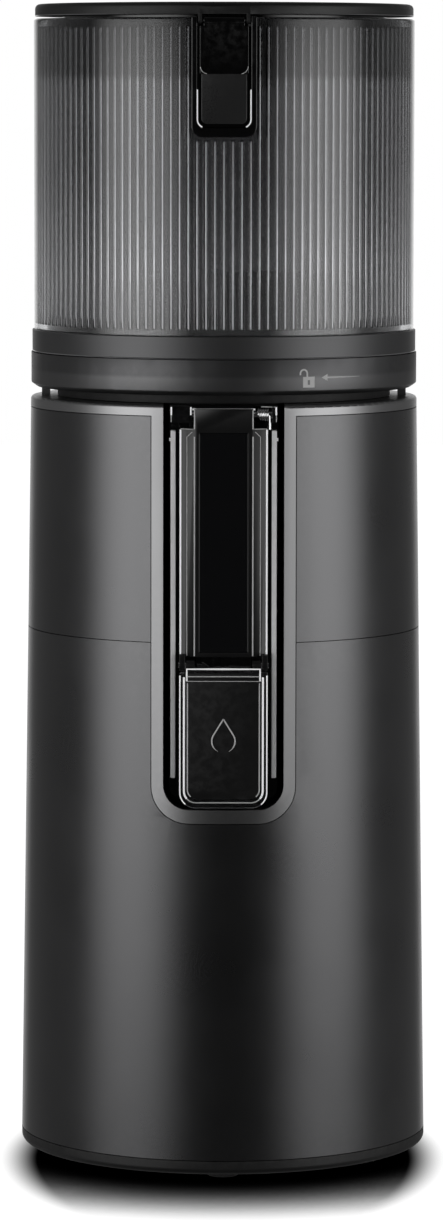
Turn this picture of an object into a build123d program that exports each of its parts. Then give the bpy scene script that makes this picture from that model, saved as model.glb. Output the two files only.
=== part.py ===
from build123d import *
from math import acos, atan2, cos, degrees, pi, radians, sin, tan
import os

# Upright cold press juicer. Millimetres, +Z up, front towards -Y. The origin is the
# centre of the plane that the machine rests on, on the axis of its round body.

os.makedirs("parts", exist_ok=True)

# ---------------------------------------------------------------- driving sizes
SEAM = 0.3              # visible seams, and the gap between bodies that move
RUN = 0.05              # radial clearance of a shaft in its bearing
CUT_PAST = 5.0          # cuts run this far past the face that they open

# Round body, slightly narrower at the top
FOOT_LIFT = 1.5         # foot ring above the table
FOOT_SEAM_Z = 6.6       # foot ring to lower housing
MID_SEAM_Z = 195.0      # lower to upper housing
BAND_DROP = 4.0         # the liner's top band below the body's top
BODY_TOP_Z = 280.6
BODY_FOOT_R = 75.5
HOUSING_WALL = 2.6
LAP = 3.4               # depth of the lap joint inside the middle seam
LAP_WALL = 1.3
EDGE = 1.2              # rounding of the body's top edge

# Foot
FOOT_RING_W = 15.5
FOOT_EDGE = 2.2
FEET = 4
FOOT_PAD_R = 6.0
FOOT_PAD_INSET = 9.3    # pad centres inside the foot's edge
FOOT_POCKET = 2.4
PLATE_T = 2.5
VENT_COUNT = 12
VENT_CIRCLE = 44.0
VENT_SIZE = (16.0, 4.0)

# Screws
SCREW_R = 1.5
SCREW_HEAD_R = 2.9
SCREW_HEAD_H = 1.9
SCREW_FIT = 0.15
BASE_SCREWS = 4
BASE_SCREW_INSET = 6.5
BASE_BOSS_R = 4.4
BASE_BOSS_H = 16.0
BOSS_ROOF = 2.0          # solid end of each boss
BASE_SCREW_START = 45.0  # first screw's angle

# Rear panel with mains inlet and rocker switch
PANEL_HALF = 23.0
PANEL_LOW_Z = 15.0
PANEL_HIGH_Z = 63.0
PANEL_INSET = 4.3       # the panel's face inside the foot's edge
PANEL_T = 4.2
PANEL_FLANGE = 3.0
PANEL_FLANGE_T = 2.2
INLET_Z = 26.0
INLET_HALF = (11.0, 7.2)
INLET_DEPTH = 19.0
INLET_WALL = 1.8
PRONG_R = 1.2
PRONG_X = 4.0
SWITCH_Z = 49.0
SWITCH_HALF = (6.7, 8.9)
SWITCH_WALL = 1.3
SWITCH_DEPTH = 15.0
ROCKER_TILT = 10.0
ROCKER_AXLE_R = 1.0
ROCKER_LENGTH = 12.4
INLET_PROUD = 0.4
PRONG_DROP = 4.0         # prongs shorter than the inlet's depth
SWITCH_PROUD = 0.6
ROCKER_INSET = 2.4

# Motor
DAMPER_H = 2.8
DAMPER_R = 5.0
DAMPERS = 3
DAMPER_START = 30.0
DAMPER_INSET = 8.0
MOTOR_HOLE_R = 3.5
MOTOR_HOLES = 6
BELL_HOLE_CIRCLE = 22.0
CAN_HOLE_CIRCLE = 25.0
CAN_END_T = 2.0
BEARING_SEAT = 1.8
BELL_T = 4.0
MOTOR_R = 38.0
MOTOR_WALL = 1.6
MOTOR_LENGTH = 62.0
MOTOR_SHAFT_R = 4.0
PINION_SHAFT_R = 3.0
BEARING_R = 8.5
BEARING_H = 4.0
STATOR_BORE_R = 22.0
STATOR_SLOTS = 12
STATOR_SLOT_R = 3.2
STATOR_SLOT_OUT = 6.5
ROTOR_BARS = 18
ROTOR_BAR_R = 1.6
ROTOR_BAR_IN = 5.0
ROTOR_GAP = 0.7
STACK_LENGTH = 34.0
FAN_R = 31.0
FAN_H = 5.5
FAN_BLADES = 9
FAN_HUB_R = 10.0
FAN_BLADE_T = 1.6
FAN_LIFT = 1.5
STACK_GAP = 4.0         # between fan and stack
BOARD_HALF = 24.0
BOARD_GAP = 6.0         # board behind the motor can
BOARD_T = 1.6
BOARD_TOP_Z = 66.0

# Gear train: three spur stages, motor below and output above on the same axis
TEETH_SMALL = 14
TEETH_FIRST = 42
TEETH_SECOND = 40
TEETH_OUTPUT = 38
MODULE_FIRST = 1.0
MODULE_SECOND = 1.25
MODULE_OUTPUT = 1.5
PRESSURE_ANGLE = 20.0
ADDENDUM = 0.9          # of the module
DEDENDUM = 1.25         # of the module
BACKLASH = 0.12         # taken off each tooth at the pitch circle
GEAR_PIN_R = 3.0
PIN_PROUD = 0.4         # first pin above its gears
GEAR_LIFT = 3.0         # lowest gear above the gearbox floor
FIRST_H = 7.0
SECOND_H = 8.0
OUTPUT_H = 10.0
GEAR_STEP = 1.5
SECOND_AXIS_ANGLE = 100.0
GEARBOX_R = 68.5
GEARBOX_WALL = 2.5
GEARBOX_FLOOR = 3.0
GEARBOX_TOP_GAP = 2.5
GEARBOX_SCREWS = 4
GEARBOX_SCREW_INSET = 7.5
GEARBOX_SCREW_L = 13.0
GEARBOX_PILOT_L = 14.0
SHAFT_HOLE_GAP = 1.5
PIN_BOSS_WALL = 2.0
PIN_SEAT = 1.0           # floor left under the gear pins
PIN_TOP_SEAT = 2.0       # depth of the second pin's seat in the cover
HUB_FIRST_R = 7.0
HUB_SECOND_R = 8.0
LIGHTENING_R = 4.5
LIGHTENING_CIRCLE = 17.0
LIGHTENING_HOLES = 6
GEARBOX_POST_R = 3.4
COVER_T = 3.0
WELL_STAND = 4.5        # ring on the gearbox cover that carries the liner
WELL_STAND_INSET = 6.5  # the ring's edge inside the liner's outside
WELL_STAND_W = 3.0
LEDGE_W = 6.0
LEDGE_T = 2.6
SHAFT_R = 6.0
BUSH_WALL = 2.6
BOSS_R = 14.0
HEX_FLATS = 10.0
HEX_LENGTH = 17.0
HEX_FIT = 0.3
DRUM_SEAL_W = 3.5
SEAL_LIP = 2.0           # shaft seal inside its boss
SEAL_H = 1.6
BOSS_PROUD = 0.6        # boss above the liner's floor
SOCKET_SPARE = 1.5      # socket's depth past the shaft
SOCKET_MOUTH_GAP = 0.6

# Chamber liner and drum
DRUM_R = 57.5
DRUM_WALL = 2.5
WELL_GAP = 0.8
WELL_WALL = 2.2
BAND_W = 11.05          # from the liner's tube to the outside at the body's top
WELL_FLOOR = 2.8
DRUM_SKIRT = 3.0
DRUM_FLOOR = 3.0
NECK_STEP = 4.2
NECK_H = 11.4           # neck's top above the body's top
LUG_REACH = 3.9
LUG_LIFT = 7.0          # bayonet lugs above the body's top
LUG_H = 2.9
LUGS = 4
LUG_ANGLE = 22.0
LOCATING_LUG = (3.0, 5.0, 2.6)
LOCATING_LUG_STEP = 4.3
LUG_NOTCH_FIT = 1.5     # degrees at each side of a lug

# U-shaped recess at the front
RECESS_HALF = 21.8
RECESS_Z = 134.6
RECESS_CORNER = 9.0
BEZEL_W = 4.2
BEZEL_DROP = 4.9
BEZEL_CORNER = 13.2
COLUMN_HALF = 19.6
COLUMN_DEPTH = 6.8      # column's face in front of the drum
COLUMN_GAP = 1.0        # column above the recess floor
COLUMN_CORNER = 7.0
COLUMN_ROOT = 8.0
COLUMN_JOIN = 0.1       # seam between column and drum
RAIL_INNER = 17.3
RAIL_W = 1.8
RAIL_DEPTH = 4.4
RAIL_LOW_Z = 145.8
RAIL_TOP_DROP = 9.0

# Front cover on its sprung hinge
HINGE_OUT = 3.2         # from the column's face
HINGE_DROP = 3.4        # from the body's top
HINGE_PIN_R = 1.4
HINGE_PIN_END = 0.8     # pin's ends inside the lugs
KNUCKLE_R = 3.0
HINGE_LUG = (11.5, 19.0)
HINGE_LUG_DROP = 6.2
HINGE_LUG_OUT = 6.3
SPRING_R = 2.7
SPRING_WIRE = 0.9
SPRING_END = 1.6
COVER_HALF = 15.9
COVER_LOW_Z = 190.0
SHOULDER_DROP = 8.2
SHOULDER = 1.0
TONGUE_HALF = 10.6
TONGUE_DROP = 1.2
COVER_BACK_OUT = 2.7
COVER_SIDE_OUT = 4.5
COVER_BEVEL = (13.2, 6.1)   # half width, and distance in front of the column
COVER_FACE = (10.5, 7.1)
RIB_HALF = 12.5
RIB_BACK_OUT = 0.4
RIB_T = 1.6
RIB_LIFT = 4.0
INLAY_MARGIN = 1.6
INLAY_T = 0.7

# Juice cap at the cover's lower end
CAP_PIN_OUT = 6.7
CAP_PIN_DROP = 3.0      # below the cover's lower edge
CAP_PIN_R = 1.1
CAP_EAR_R = 2.0
CAP_EAR_W = 2.0
CAP_BARREL = (10.4, 13.55)
CAP_NECK = 1.2           # barrel's neck in front of the pin
CAP_PIN_PROUD = 0.4
CAP_EDGE = 0.4
CAP_TOP_DROP = 5.7
CAP_STEP_DROP = 8.5
CAP_BOTTOM_GAP = 0.7
CAP_BACK_OUT = 4.6
CAP_FRONT_OUT = 9.6
CAP_STEP_OUT = 8.3
CAP_CORE_HALF = 13.0
CAP_CORE_PROUD = 0.6
CAP_RIM = 3.4
CAP_CORNER = 6.0
CAP_SIDE = 2.0           # taken off the corner inside the shell
NOZZLE_LIFT = 16.4      # above the recess's floor
NOZZLE_R = 9.0
NOZZLE_BORE_R = 6.5
NOZZLE_OUT = 2.3
SEAL_T = 1.9
SEAL_LAP = 0.6

# Pulp spout, fixed at the rear
SPOUT_HALF = 13.0
SPOUT_WALL = 2.5
SPOUT_HEIGHT = 27.0
SPOUT_REACH = 14.5      # past the foot's edge
SPOUT_CORNER = 4.0
SPOUT_FIT = 0.15

# Strainer and auger
AUGER_CORE_R = 17.0
AUGER_R = 38.0
FLIGHTS = 2
FLIGHT_T = 5.0
FLIGHT_ROOT = 4.0        # flight's length inside the core
AUGER_LIFT = 1.0
AUGER_TURN = 300.0
AUGER_TOP_DROP = 8.6
SOCKET_R = 9.0
SOCKET_ROOF = 3.0
STRAINER_LOW_R = 40.5
STRAINER_TOP_R = 42.5
STRAINER_WALL = 1.6
STRAINER_TOP_DROP = 6.6
STRAINER_RIM = 2.5
SLITS = 24
SLIT_W = 0.8
SLIT_LIFT = 20.0
SLIT_DROP = 16.0
PULP_GATE_DROP = 8.0
PULP_GATE_LIFT = 1.5
WING_H = 29.0           # above the hopper's seam
WING_ROOT = 8.0         # below it
WING_HUB_R = 11.0
WING_R = 40.0
WING_T = 3.5
WING_BEND = 26.0

# Hopper
COLLAR_LIFT = 3.5       # above the body's top
COLLAR_WALL = 5.3
COLLAR_TAPER = (2.2, 1.5)
HOPPER_SEAM_LIFT = 16.4
COLLAR_WEB = 3.5
COLLAR_HOLE_R = 50.0
COLLAR_EDGE = 0.7
HOPPER_SEAL_IN = 0.8
HOPPER_SEAL_LAP = 1.0
BAYONET_TURN = 30.0
NECK_GAP = 0.5
BAND_INSET = 0.4        # hopper's band inside the collar
BAND_H = 8.0
BAND_STEP = 0.7
BAND_BEVEL = 0.4
RIM_EDGE = 0.8
HOPPER_WALL = 4.6
HOPPER_TOP_Z = 419.2
FUNNEL_T = 2.0
FUNNEL_HOLE_R = 44.0
FUNNEL_DROP = 8.0
SLEEVE_DROP = 11.0      # below the hopper's seam

# Lid, its rear hinge and its front latch
LID_GAP = 1.0
LID_INSET = 0.5
LID_T = 4.4
LID_EDGE = 1.8
LID_ROOT = 4.0           # hinge barrel's root inside the lid's edge
PLUG_GAP = 5.7
PLUG_WALL = 2.2
PLUG_SIDE_DROP = 21.6   # below the hopper's top
PLUG_DROP = 27.2
LID_HINGE_OUT = 4.7
LID_HINGE_DROP = 1.2
LID_PIN_R = 1.5
LID_KNUCKLE_R = 3.0
LID_KNUCKLE_HALF = 8.0
BRACKET_HALF = 13.5
BRACKET_H = 16.0
BRACKET_SLOPE = 7.0
FRAME_HALF = 11.7
FRAME_DROP = 42.8
FRAME_OUT = 3.3
FRAME_CORNER = 4.0
SKIN_JOIN = 0.05         # seam between hopper and what is fixed on it
POCKET_HALF = 9.6
POCKET_LIP = 3.4
POCKET_BACK_OUT = 1.0
POCKET_CORNER_STEP = 1.5
LATCH_HALF = 8.7
TAB_HALF = 8.1
LATCH_LIFT = 1.4        # above the pocket's lower edge
TAB_H = 17.8
LATCH_PROUD = 0.4
LATCH_STEP = 0.5
LATCH_PIN_DROP = 1.3
LATCH_PIN_R = 0.8
LATCH_BARREL_R = 1.4
LATCH_EAR_R = 1.2
LATCH_SHOULDER = 1.4     # latch narrower beside its ears
LATCH_CORNER = 2.0
LATCH_EAR_W = 1.4
MAGNET_R = 3.0
MAGNET_T = 1.4
MAGNET_LIFT = 4.8       # above the tab's lower edge

# ---------------------------------------------------------------- derived sizes
band_z = BODY_TOP_Z - BAND_DROP
foot_inner_r = BODY_FOOT_R - FOOT_RING_W
foot_pad_circle = BODY_FOOT_R - FOOT_PAD_INSET
base_screw_ring = (BODY_FOOT_R - BASE_SCREW_INSET, BASE_SCREWS, BASE_SCREW_START)
panel_y = BODY_FOOT_R - PANEL_INSET
damper_circle = MOTOR_R - DAMPER_INSET
board_y = MOTOR_R + BOARD_GAP
plate_low = FOOT_SEAM_Z + SEAM / 2
plate_top = plate_low + PLATE_T
bell_low = plate_top + DAMPER_H
bell_top = bell_low + BELL_T
can_top = bell_top + MOTOR_LENGTH
stack_low = bell_top + FAN_H + STACK_GAP
gearbox_low = can_top + SEAM
gearbox_floor = gearbox_low + GEARBOX_FLOOR
first_low = gearbox_floor + GEAR_LIFT
second_low = first_low + FIRST_H + GEAR_STEP
output_low = second_low + SECOND_H + GEAR_STEP
output_high = output_low + OUTPUT_H
cover_low = output_high + GEARBOX_TOP_GAP
cover_top = cover_low + COVER_T
well_low = cover_top + WELL_STAND + SEAM
well_floor = well_low + WELL_FLOOR
boss_top = well_floor + BOSS_PROUD
seal_top = boss_top + SEAL_H
drum_low = well_floor + SEAM
drum_floor_low = drum_low + DRUM_SKIRT
drum_floor = drum_floor_low + DRUM_FLOOR
well_r = DRUM_R + WELL_GAP
body_top_r = well_r + WELL_WALL + BAND_W
gearbox_screw_ring = (GEARBOX_R - GEARBOX_SCREW_INSET, GEARBOX_SCREWS, SECOND_AXIS_ANGLE + 45)
well_stand_r = well_r + WELL_WALL - WELL_STAND_INSET
hex_low = seal_top + SEAM
hex_top = hex_low + HEX_LENGTH
socket_low = drum_floor_low
socket_top = hex_top + SOCKET_SPARE + SOCKET_ROOF
bezel_half = RECESS_HALF + BEZEL_W
bezel_low = RECESS_Z - BEZEL_DROP
band_low = band_z + SEAM / 2
recess_cut_y = -BODY_FOOT_R - CUT_PAST
column_low = RECESS_Z + COLUMN_GAP
column_top = BODY_TOP_Z - SEAM
column_front_y = -DRUM_R - COLUMN_DEPTH
rail_top = BODY_TOP_Z - RAIL_TOP_DROP
hinge_y = column_front_y - HINGE_OUT
hinge_z = BODY_TOP_Z - HINGE_DROP
hinge_lug_low = BODY_TOP_Z - HINGE_LUG_DROP
hinge_lug_front_y = column_front_y - HINGE_LUG_OUT
shoulder_z = BODY_TOP_Z - SHOULDER_DROP
tongue_top = BODY_TOP_Z - TONGUE_DROP
cover_back_y = column_front_y - COVER_BACK_OUT
cover_side_y = column_front_y - COVER_SIDE_OUT
cover_bevel_y = column_front_y - COVER_BEVEL[1]
cover_face_y = column_front_y - COVER_FACE[1]
rib_back_y = column_front_y - RIB_BACK_OUT
cap_pin_y = column_front_y - CAP_PIN_OUT
cap_pin_z = COVER_LOW_Z - CAP_PIN_DROP
cap_top = COVER_LOW_Z - CAP_TOP_DROP
cap_step_z = COVER_LOW_Z - CAP_STEP_DROP
cap_back_y = column_front_y - CAP_BACK_OUT
cap_front_y = column_front_y - CAP_FRONT_OUT
cap_step_y = column_front_y - CAP_STEP_OUT
nozzle_front_y = column_front_y - NOZZLE_OUT
nozzle_z = RECESS_Z + NOZZLE_LIFT
spout_y = BODY_FOOT_R + SPOUT_REACH
auger_top = BODY_TOP_Z - AUGER_TOP_DROP
strainer_top = BODY_TOP_Z - STRAINER_TOP_DROP
neck_r = DRUM_R + NECK_STEP
neck_top = BODY_TOP_Z + NECK_H
lug_z = BODY_TOP_Z + LUG_LIFT
lug_tip_r = neck_r + LUG_REACH
collar_low = BODY_TOP_Z + COLLAR_LIFT
collar_r = lug_tip_r + NECK_GAP + COLLAR_WALL
hopper_seam_z = BODY_TOP_Z + HOPPER_SEAM_LIFT
band_r = collar_r - BAND_INSET
band_top = hopper_seam_z + BAND_H
hopper_r = band_r - BAND_STEP
neck_low = BODY_TOP_Z + SEAM
cap_low = RECESS_Z + CAP_BOTTOM_GAP
spout_low = drum_floor - 0.6
web_low = hopper_seam_z - SEAM / 2 - COLLAR_WEB
hopper_inner = hopper_r - HOPPER_WALL
lid_low = HOPPER_TOP_Z + LID_GAP
lid_top = lid_low + LID_T
lid_r = hopper_r - LID_INSET
plug_r = hopper_inner - PLUG_GAP
plug_side = HOPPER_TOP_Z - PLUG_SIDE_DROP
plug_low = HOPPER_TOP_Z - PLUG_DROP
lid_hinge_y = hopper_r + LID_HINGE_OUT
lid_hinge_z = HOPPER_TOP_Z - LID_HINGE_DROP
bracket_low = lid_hinge_z - BRACKET_H
frame_low = HOPPER_TOP_Z - FRAME_DROP
frame_front_y = -hopper_r - FRAME_OUT
pocket_low = frame_low + POCKET_LIP
pocket_back_y = -hopper_r - POCKET_BACK_OUT
latch_low = pocket_low + LATCH_LIFT
latch_step_z = latch_low + TAB_H
latch_back_y = pocket_back_y - SEAM
latch_front_y = frame_front_y - LATCH_PROUD
latch_pin_y = latch_back_y - LATCH_BARREL_R
latch_pin_z = HOPPER_TOP_Z - LATCH_PIN_DROP
magnet_z = latch_low + MAGNET_LIFT
ratio_first = TEETH_FIRST / TEETH_SMALL
ratio_second = TEETH_SECOND / TEETH_SMALL
ratio_output = TEETH_OUTPUT / TEETH_SMALL

# Gear axes: the first idler lies where its two centre distances meet
first_centre = MODULE_FIRST * (TEETH_SMALL + TEETH_FIRST) / 2
second_centre = MODULE_SECOND * (TEETH_SMALL + TEETH_SECOND) / 2
output_centre = MODULE_OUTPUT * (TEETH_SMALL + TEETH_OUTPUT) / 2
axes_angle = degrees(
    acos((first_centre**2 + output_centre**2 - second_centre**2) / (2 * first_centre * output_centre))
)
first_angle = SECOND_AXIS_ANGLE + axes_angle


def polar(radius, angle):
    """Point on the floor plan at a radius and an angle in degrees."""
    return (radius * cos(radians(angle)), radius * sin(radians(angle)))


first_axis = polar(first_centre, first_angle)
second_axis = polar(output_centre, SECOND_AXIS_ANGLE)
between_angle = degrees(atan2(second_axis[1] - first_axis[1], second_axis[0] - first_axis[0]))


def body_radius(height):
    """Outer radius of the drafted body at a height."""
    share = (height - FOOT_SEAM_Z) / (BODY_TOP_Z - FOOT_SEAM_Z)
    return BODY_FOOT_R + share * (body_top_r - BODY_FOOT_R)


# ---------------------------------------------------------------- shape helpers
def tube(outer, inner, low, high, at=(0, 0), mode=Mode.ADD):
    """Upright cylinder, or tube if inner isn't 0, between two heights."""
    with BuildSketch(Plane.XY.offset(low)) as ring:
        with Locations(at):
            Circle(outer)
            if inner:
                Circle(inner, mode=Mode.SUBTRACT)
    extrude(ring.sketch, amount=high - low, mode=mode)


def block(x, y, z, mode=Mode.ADD):
    """Box between three pairs of coordinates."""
    with BuildSketch(Plane.XY.offset(z[0])) as base:
        with Locations(((x[0] + x[1]) / 2, (y[0] + y[1]) / 2)):
            Rectangle(x[1] - x[0], y[1] - y[0])
    extrude(base.sketch, amount=z[1] - z[0], mode=mode)


def posts(radius, low, high, circle, count, start=0.0, mode=Mode.ADD):
    """Ring of upright round posts or holes on a pitch circle."""
    with BuildSketch(Plane.XY.offset(low)) as spots:
        with PolarLocations(circle, count, start_angle=start):
            Circle(radius)
    extrude(spots.sketch, amount=high - low, mode=mode)


def turned(*outline, mode=Mode.ADD):
    """Closed outline of (radius, height) points, revolved about the upright axis."""
    with BuildSketch(Plane.XZ) as half:
        with BuildLine():
            Polyline(*outline, close=True)
        make_face()
    revolve(half.sketch, axis=Axis.Z, mode=mode)


def front_plane(y):
    """Plane facing the front, with X across and Z up in its sketches."""
    return Plane(origin=(0, y, 0), x_dir=(1, 0, 0), z_dir=(0, -1, 0))


def panel(half, low, high, corner, back, front, mode=Mode.ADD):
    """Upright panel facing the front, with its two lower corners rounded."""
    with BuildSketch(front_plane(back)) as face:
        with Locations((0, (low + high) / 2)):
            Rectangle(2 * half, high - low)
        fillet(face.vertices().group_by(Axis.Y)[0], corner)
    extrude(face.sketch, amount=back - front, mode=mode)


def cross_rod(radius, x, at, mode=Mode.ADD):
    """Rod along X between two x, centred on a (y, z) point."""
    with BuildSketch(Plane.YZ.offset(x[0])) as disc:
        with Locations(at):
            Circle(radius)
    extrude(disc.sketch, amount=x[1] - x[0], mode=mode)


def spout_section(grow, bore):
    """Section of the pulp spout, or the plain window that it passes through."""
    with BuildSketch(Plane.XZ) as section:
        with Locations((0, spout_low + SPOUT_HEIGHT / 2)):
            RectangleRounded(2 * (SPOUT_HALF + grow), SPOUT_HEIGHT + 2 * grow, SPOUT_CORNER + grow)
            if bore:
                RectangleRounded(
                    2 * (SPOUT_HALF - SPOUT_WALL), SPOUT_HEIGHT - 2 * SPOUT_WALL,
                    SPOUT_CORNER - SPOUT_WALL / 2, mode=Mode.SUBTRACT,
                )
    return section.sketch


def spout_window():
    """Opening for the pulp spout through a wall at the rear."""
    extrude(spout_section(SPOUT_FIT, bore=False), amount=recess_cut_y, mode=Mode.SUBTRACT)


def both_sides(x):
    """The same stretch of x at the right and at the left."""
    return (x, (-x[1], -x[0]))


def save(piece, name):
    """Label a finished piece and write it to its own file."""
    piece.part.label = name
    export_step(piece.part, f"parts/{name}.step")


# ---------------------------------------------------------------- foot and base
with BuildPart() as foot_ring:
    tube(BODY_FOOT_R, foot_inner_r, FOOT_LIFT, FOOT_SEAM_Z - SEAM / 2)
    fillet(foot_ring.edges().group_by(Axis.Z)[0].sort_by(SortBy.RADIUS)[-1], FOOT_EDGE)
    posts(FOOT_PAD_R + SEAM, FOOT_LIFT, FOOT_LIFT + FOOT_POCKET, foot_pad_circle, FEET, mode=Mode.SUBTRACT)
    posts(
        SCREW_HEAD_R + SEAM, FOOT_LIFT, FOOT_LIFT + SCREW_HEAD_H + SEAM,
        *base_screw_ring, mode=Mode.SUBTRACT,
    )
    posts(SCREW_R + SCREW_FIT, FOOT_LIFT, FOOT_SEAM_Z, *base_screw_ring, mode=Mode.SUBTRACT)
save(foot_ring, "foot_ring")

with BuildPart() as rubber_feet:
    posts(FOOT_PAD_R, 0, FOOT_LIFT + FOOT_POCKET, foot_pad_circle, FEET)
    chamfer(rubber_feet.edges().group_by(Axis.Z)[0], 0.6)
save(rubber_feet, "rubber_feet")

with BuildPart() as base_plate:
    tube(body_radius(plate_top) - HOUSING_WALL - SEAM, 0, plate_low, plate_top)
    with BuildSketch(Plane.XY.offset(plate_low)) as vents:
        with PolarLocations(VENT_CIRCLE, VENT_COUNT, start_angle=15):
            SlotOverall(*VENT_SIZE)
    extrude(vents.sketch, amount=PLATE_T, mode=Mode.SUBTRACT)
    posts(SCREW_R + SCREW_FIT, plate_low, plate_top, *base_screw_ring, mode=Mode.SUBTRACT)
save(base_plate, "base_plate")

with BuildPart() as base_screws:
    posts(
        SCREW_HEAD_R, FOOT_LIFT + SEAM, FOOT_LIFT + SEAM + SCREW_HEAD_H,
        *base_screw_ring,
    )
    posts(SCREW_R, FOOT_LIFT + SEAM, plate_top + BASE_BOSS_H - BOSS_ROOF - 1, *base_screw_ring)
save(base_screws, "base_screws")

# ---------------------------------------------------------------- housings
with BuildPart() as lower_housing:
    lower_low = FOOT_SEAM_Z + SEAM / 2
    lower_top = MID_SEAM_Z - SEAM / 2
    turned(
        (body_radius(lower_low) - HOUSING_WALL, lower_low),
        (body_radius(lower_low), lower_low),
        (body_radius(lower_top), lower_top),
        (body_radius(lower_top) - HOUSING_WALL, lower_top),
    )
    ledge_top = gearbox_low - SEAM
    ledge_r = body_radius(ledge_top) - HOUSING_WALL / 2
    turned(
        (GEARBOX_R - LEDGE_W, ledge_top),
        (ledge_r, ledge_top),
        (ledge_r, ledge_top - LEDGE_T - LEDGE_W),
        (GEARBOX_R - LEDGE_W, ledge_top - LEDGE_T),
    )
    posts(BASE_BOSS_R, plate_top + SEAM, plate_top + BASE_BOSS_H, *base_screw_ring)
    posts(
        SCREW_R + RUN, plate_top, plate_top + BASE_BOSS_H - BOSS_ROOF,
        *base_screw_ring, mode=Mode.SUBTRACT,
    )
    panel(
        bezel_half + SEAM, bezel_low - SEAM, BODY_TOP_Z, BEZEL_CORNER + SEAM,
        0, recess_cut_y, mode=Mode.SUBTRACT,
    )
    spout_window()
    block(
        (-PANEL_HALF, PANEL_HALF), (board_y, -recess_cut_y),
        (PANEL_LOW_Z, PANEL_HIGH_Z), mode=Mode.SUBTRACT,
    )
save(lower_housing, "lower_housing")

with BuildPart() as upper_housing:
    upper_low = MID_SEAM_Z + SEAM / 2
    upper_top = band_z - SEAM / 2
    lap_r = body_radius(MID_SEAM_Z) - HOUSING_WALL - SEAM / 2
    turned(
        (lap_r - LAP_WALL, MID_SEAM_Z - LAP),
        (lap_r, MID_SEAM_Z - LAP),
        (lap_r, upper_low),
        (body_radius(upper_low), upper_low),
        (body_radius(upper_top), upper_top),
        (body_radius(upper_top) - HOUSING_WALL, upper_top),
        (body_radius(MID_SEAM_Z + 2 * LAP) - HOUSING_WALL, MID_SEAM_Z + 2 * LAP),
        (lap_r - LAP_WALL, MID_SEAM_Z + LAP),
    )
    panel(
        bezel_half + SEAM, bezel_low - SEAM, BODY_TOP_Z, BEZEL_CORNER + SEAM,
        0, recess_cut_y, mode=Mode.SUBTRACT,
    )
save(upper_housing, "upper_housing")


# ---------------------------------------------------------------- chamber liner
def body_skin(mode=Mode.ADD):
    """Everything between the liner's tube and the outside of the body."""
    turned(
        (well_r, well_low),
        (body_radius(well_low), well_low),
        (body_radius(BODY_TOP_Z), BODY_TOP_Z),
        (well_r, BODY_TOP_Z),
        mode=mode,
    )


with BuildPart() as front_bezel:
    panel(bezel_half, bezel_low, BODY_TOP_Z, BEZEL_CORNER, 0, recess_cut_y)
    body_skin(mode=Mode.INTERSECT)

with BuildPart() as chamber_well:
    tube(well_r + WELL_WALL, well_r, well_low, BODY_TOP_Z)
    tube(well_r + WELL_WALL, BOSS_R + SEAM, well_low, well_floor)
    turned(
        (well_r, band_low),
        (body_radius(band_low), band_low),
        (body_radius(BODY_TOP_Z), BODY_TOP_Z),
        (well_r, BODY_TOP_Z),
    )
    add(front_bezel.part)
    outer_rim = chamber_well.edges().group_by(Axis.Z)[-1].filter_by(GeomType.CIRCLE)
    fillet(outer_rim.filter_by(lambda edge: edge.radius > body_top_r - 1), EDGE)
    panel(
        RECESS_HALF, RECESS_Z, BODY_TOP_Z + 5, RECESS_CORNER,
        0, recess_cut_y, mode=Mode.SUBTRACT,
    )
    spout_window()
    with BuildSketch(Plane.XY.offset(BODY_TOP_Z)) as locating:
        with PolarLocations(neck_r + LOCATING_LUG_STEP, 2):
            Rectangle(LOCATING_LUG[0], LOCATING_LUG[1])
    extrude(locating.sketch, amount=LOCATING_LUG[2])
save(chamber_well, "chamber_well")

# ---------------------------------------------------------------- rear panel
with BuildPart() as rear_panel:
    block(
        (-PANEL_HALF + SEAM, PANEL_HALF - SEAM), (panel_y - PANEL_T, panel_y),
        (PANEL_LOW_Z + SEAM, PANEL_HIGH_Z - SEAM),
    )
    block(
        (-PANEL_HALF - PANEL_FLANGE, PANEL_HALF + PANEL_FLANGE),
        (panel_y - PANEL_T - PANEL_FLANGE_T, panel_y - PANEL_T),
        (PANEL_LOW_Z - PANEL_FLANGE, PANEL_HIGH_Z + PANEL_FLANGE),
    )
    for half, height in ((INLET_HALF, INLET_Z), (SWITCH_HALF, SWITCH_Z)):
        block(
            (-half[0] - SEAM, half[0] + SEAM), (0, panel_y),
            (height - half[1] - SEAM, height + half[1] + SEAM), mode=Mode.SUBTRACT,
        )
save(rear_panel, "rear_panel")

with BuildPart() as power_inlet:
    inlet_y = (panel_y + INLET_PROUD - INLET_DEPTH, panel_y + INLET_PROUD)
    block((-INLET_HALF[0], INLET_HALF[0]), inlet_y, (INLET_Z - INLET_HALF[1], INLET_Z + INLET_HALF[1]))
    block(
        (-INLET_HALF[0] + INLET_WALL, INLET_HALF[0] - INLET_WALL),
        (inlet_y[0] + INLET_WALL, inlet_y[1]),
        (INLET_Z - INLET_HALF[1] + INLET_WALL, INLET_Z + INLET_HALF[1] - INLET_WALL),
        mode=Mode.SUBTRACT,
    )
    with BuildSketch(Plane.XZ.offset(-inlet_y[0])) as prongs:
        with Locations((-PRONG_X, INLET_Z), (PRONG_X, INLET_Z)):
            Circle(PRONG_R)
    extrude(prongs.sketch, amount=PRONG_DROP - INLET_DEPTH)
save(power_inlet, "power_inlet")

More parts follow.
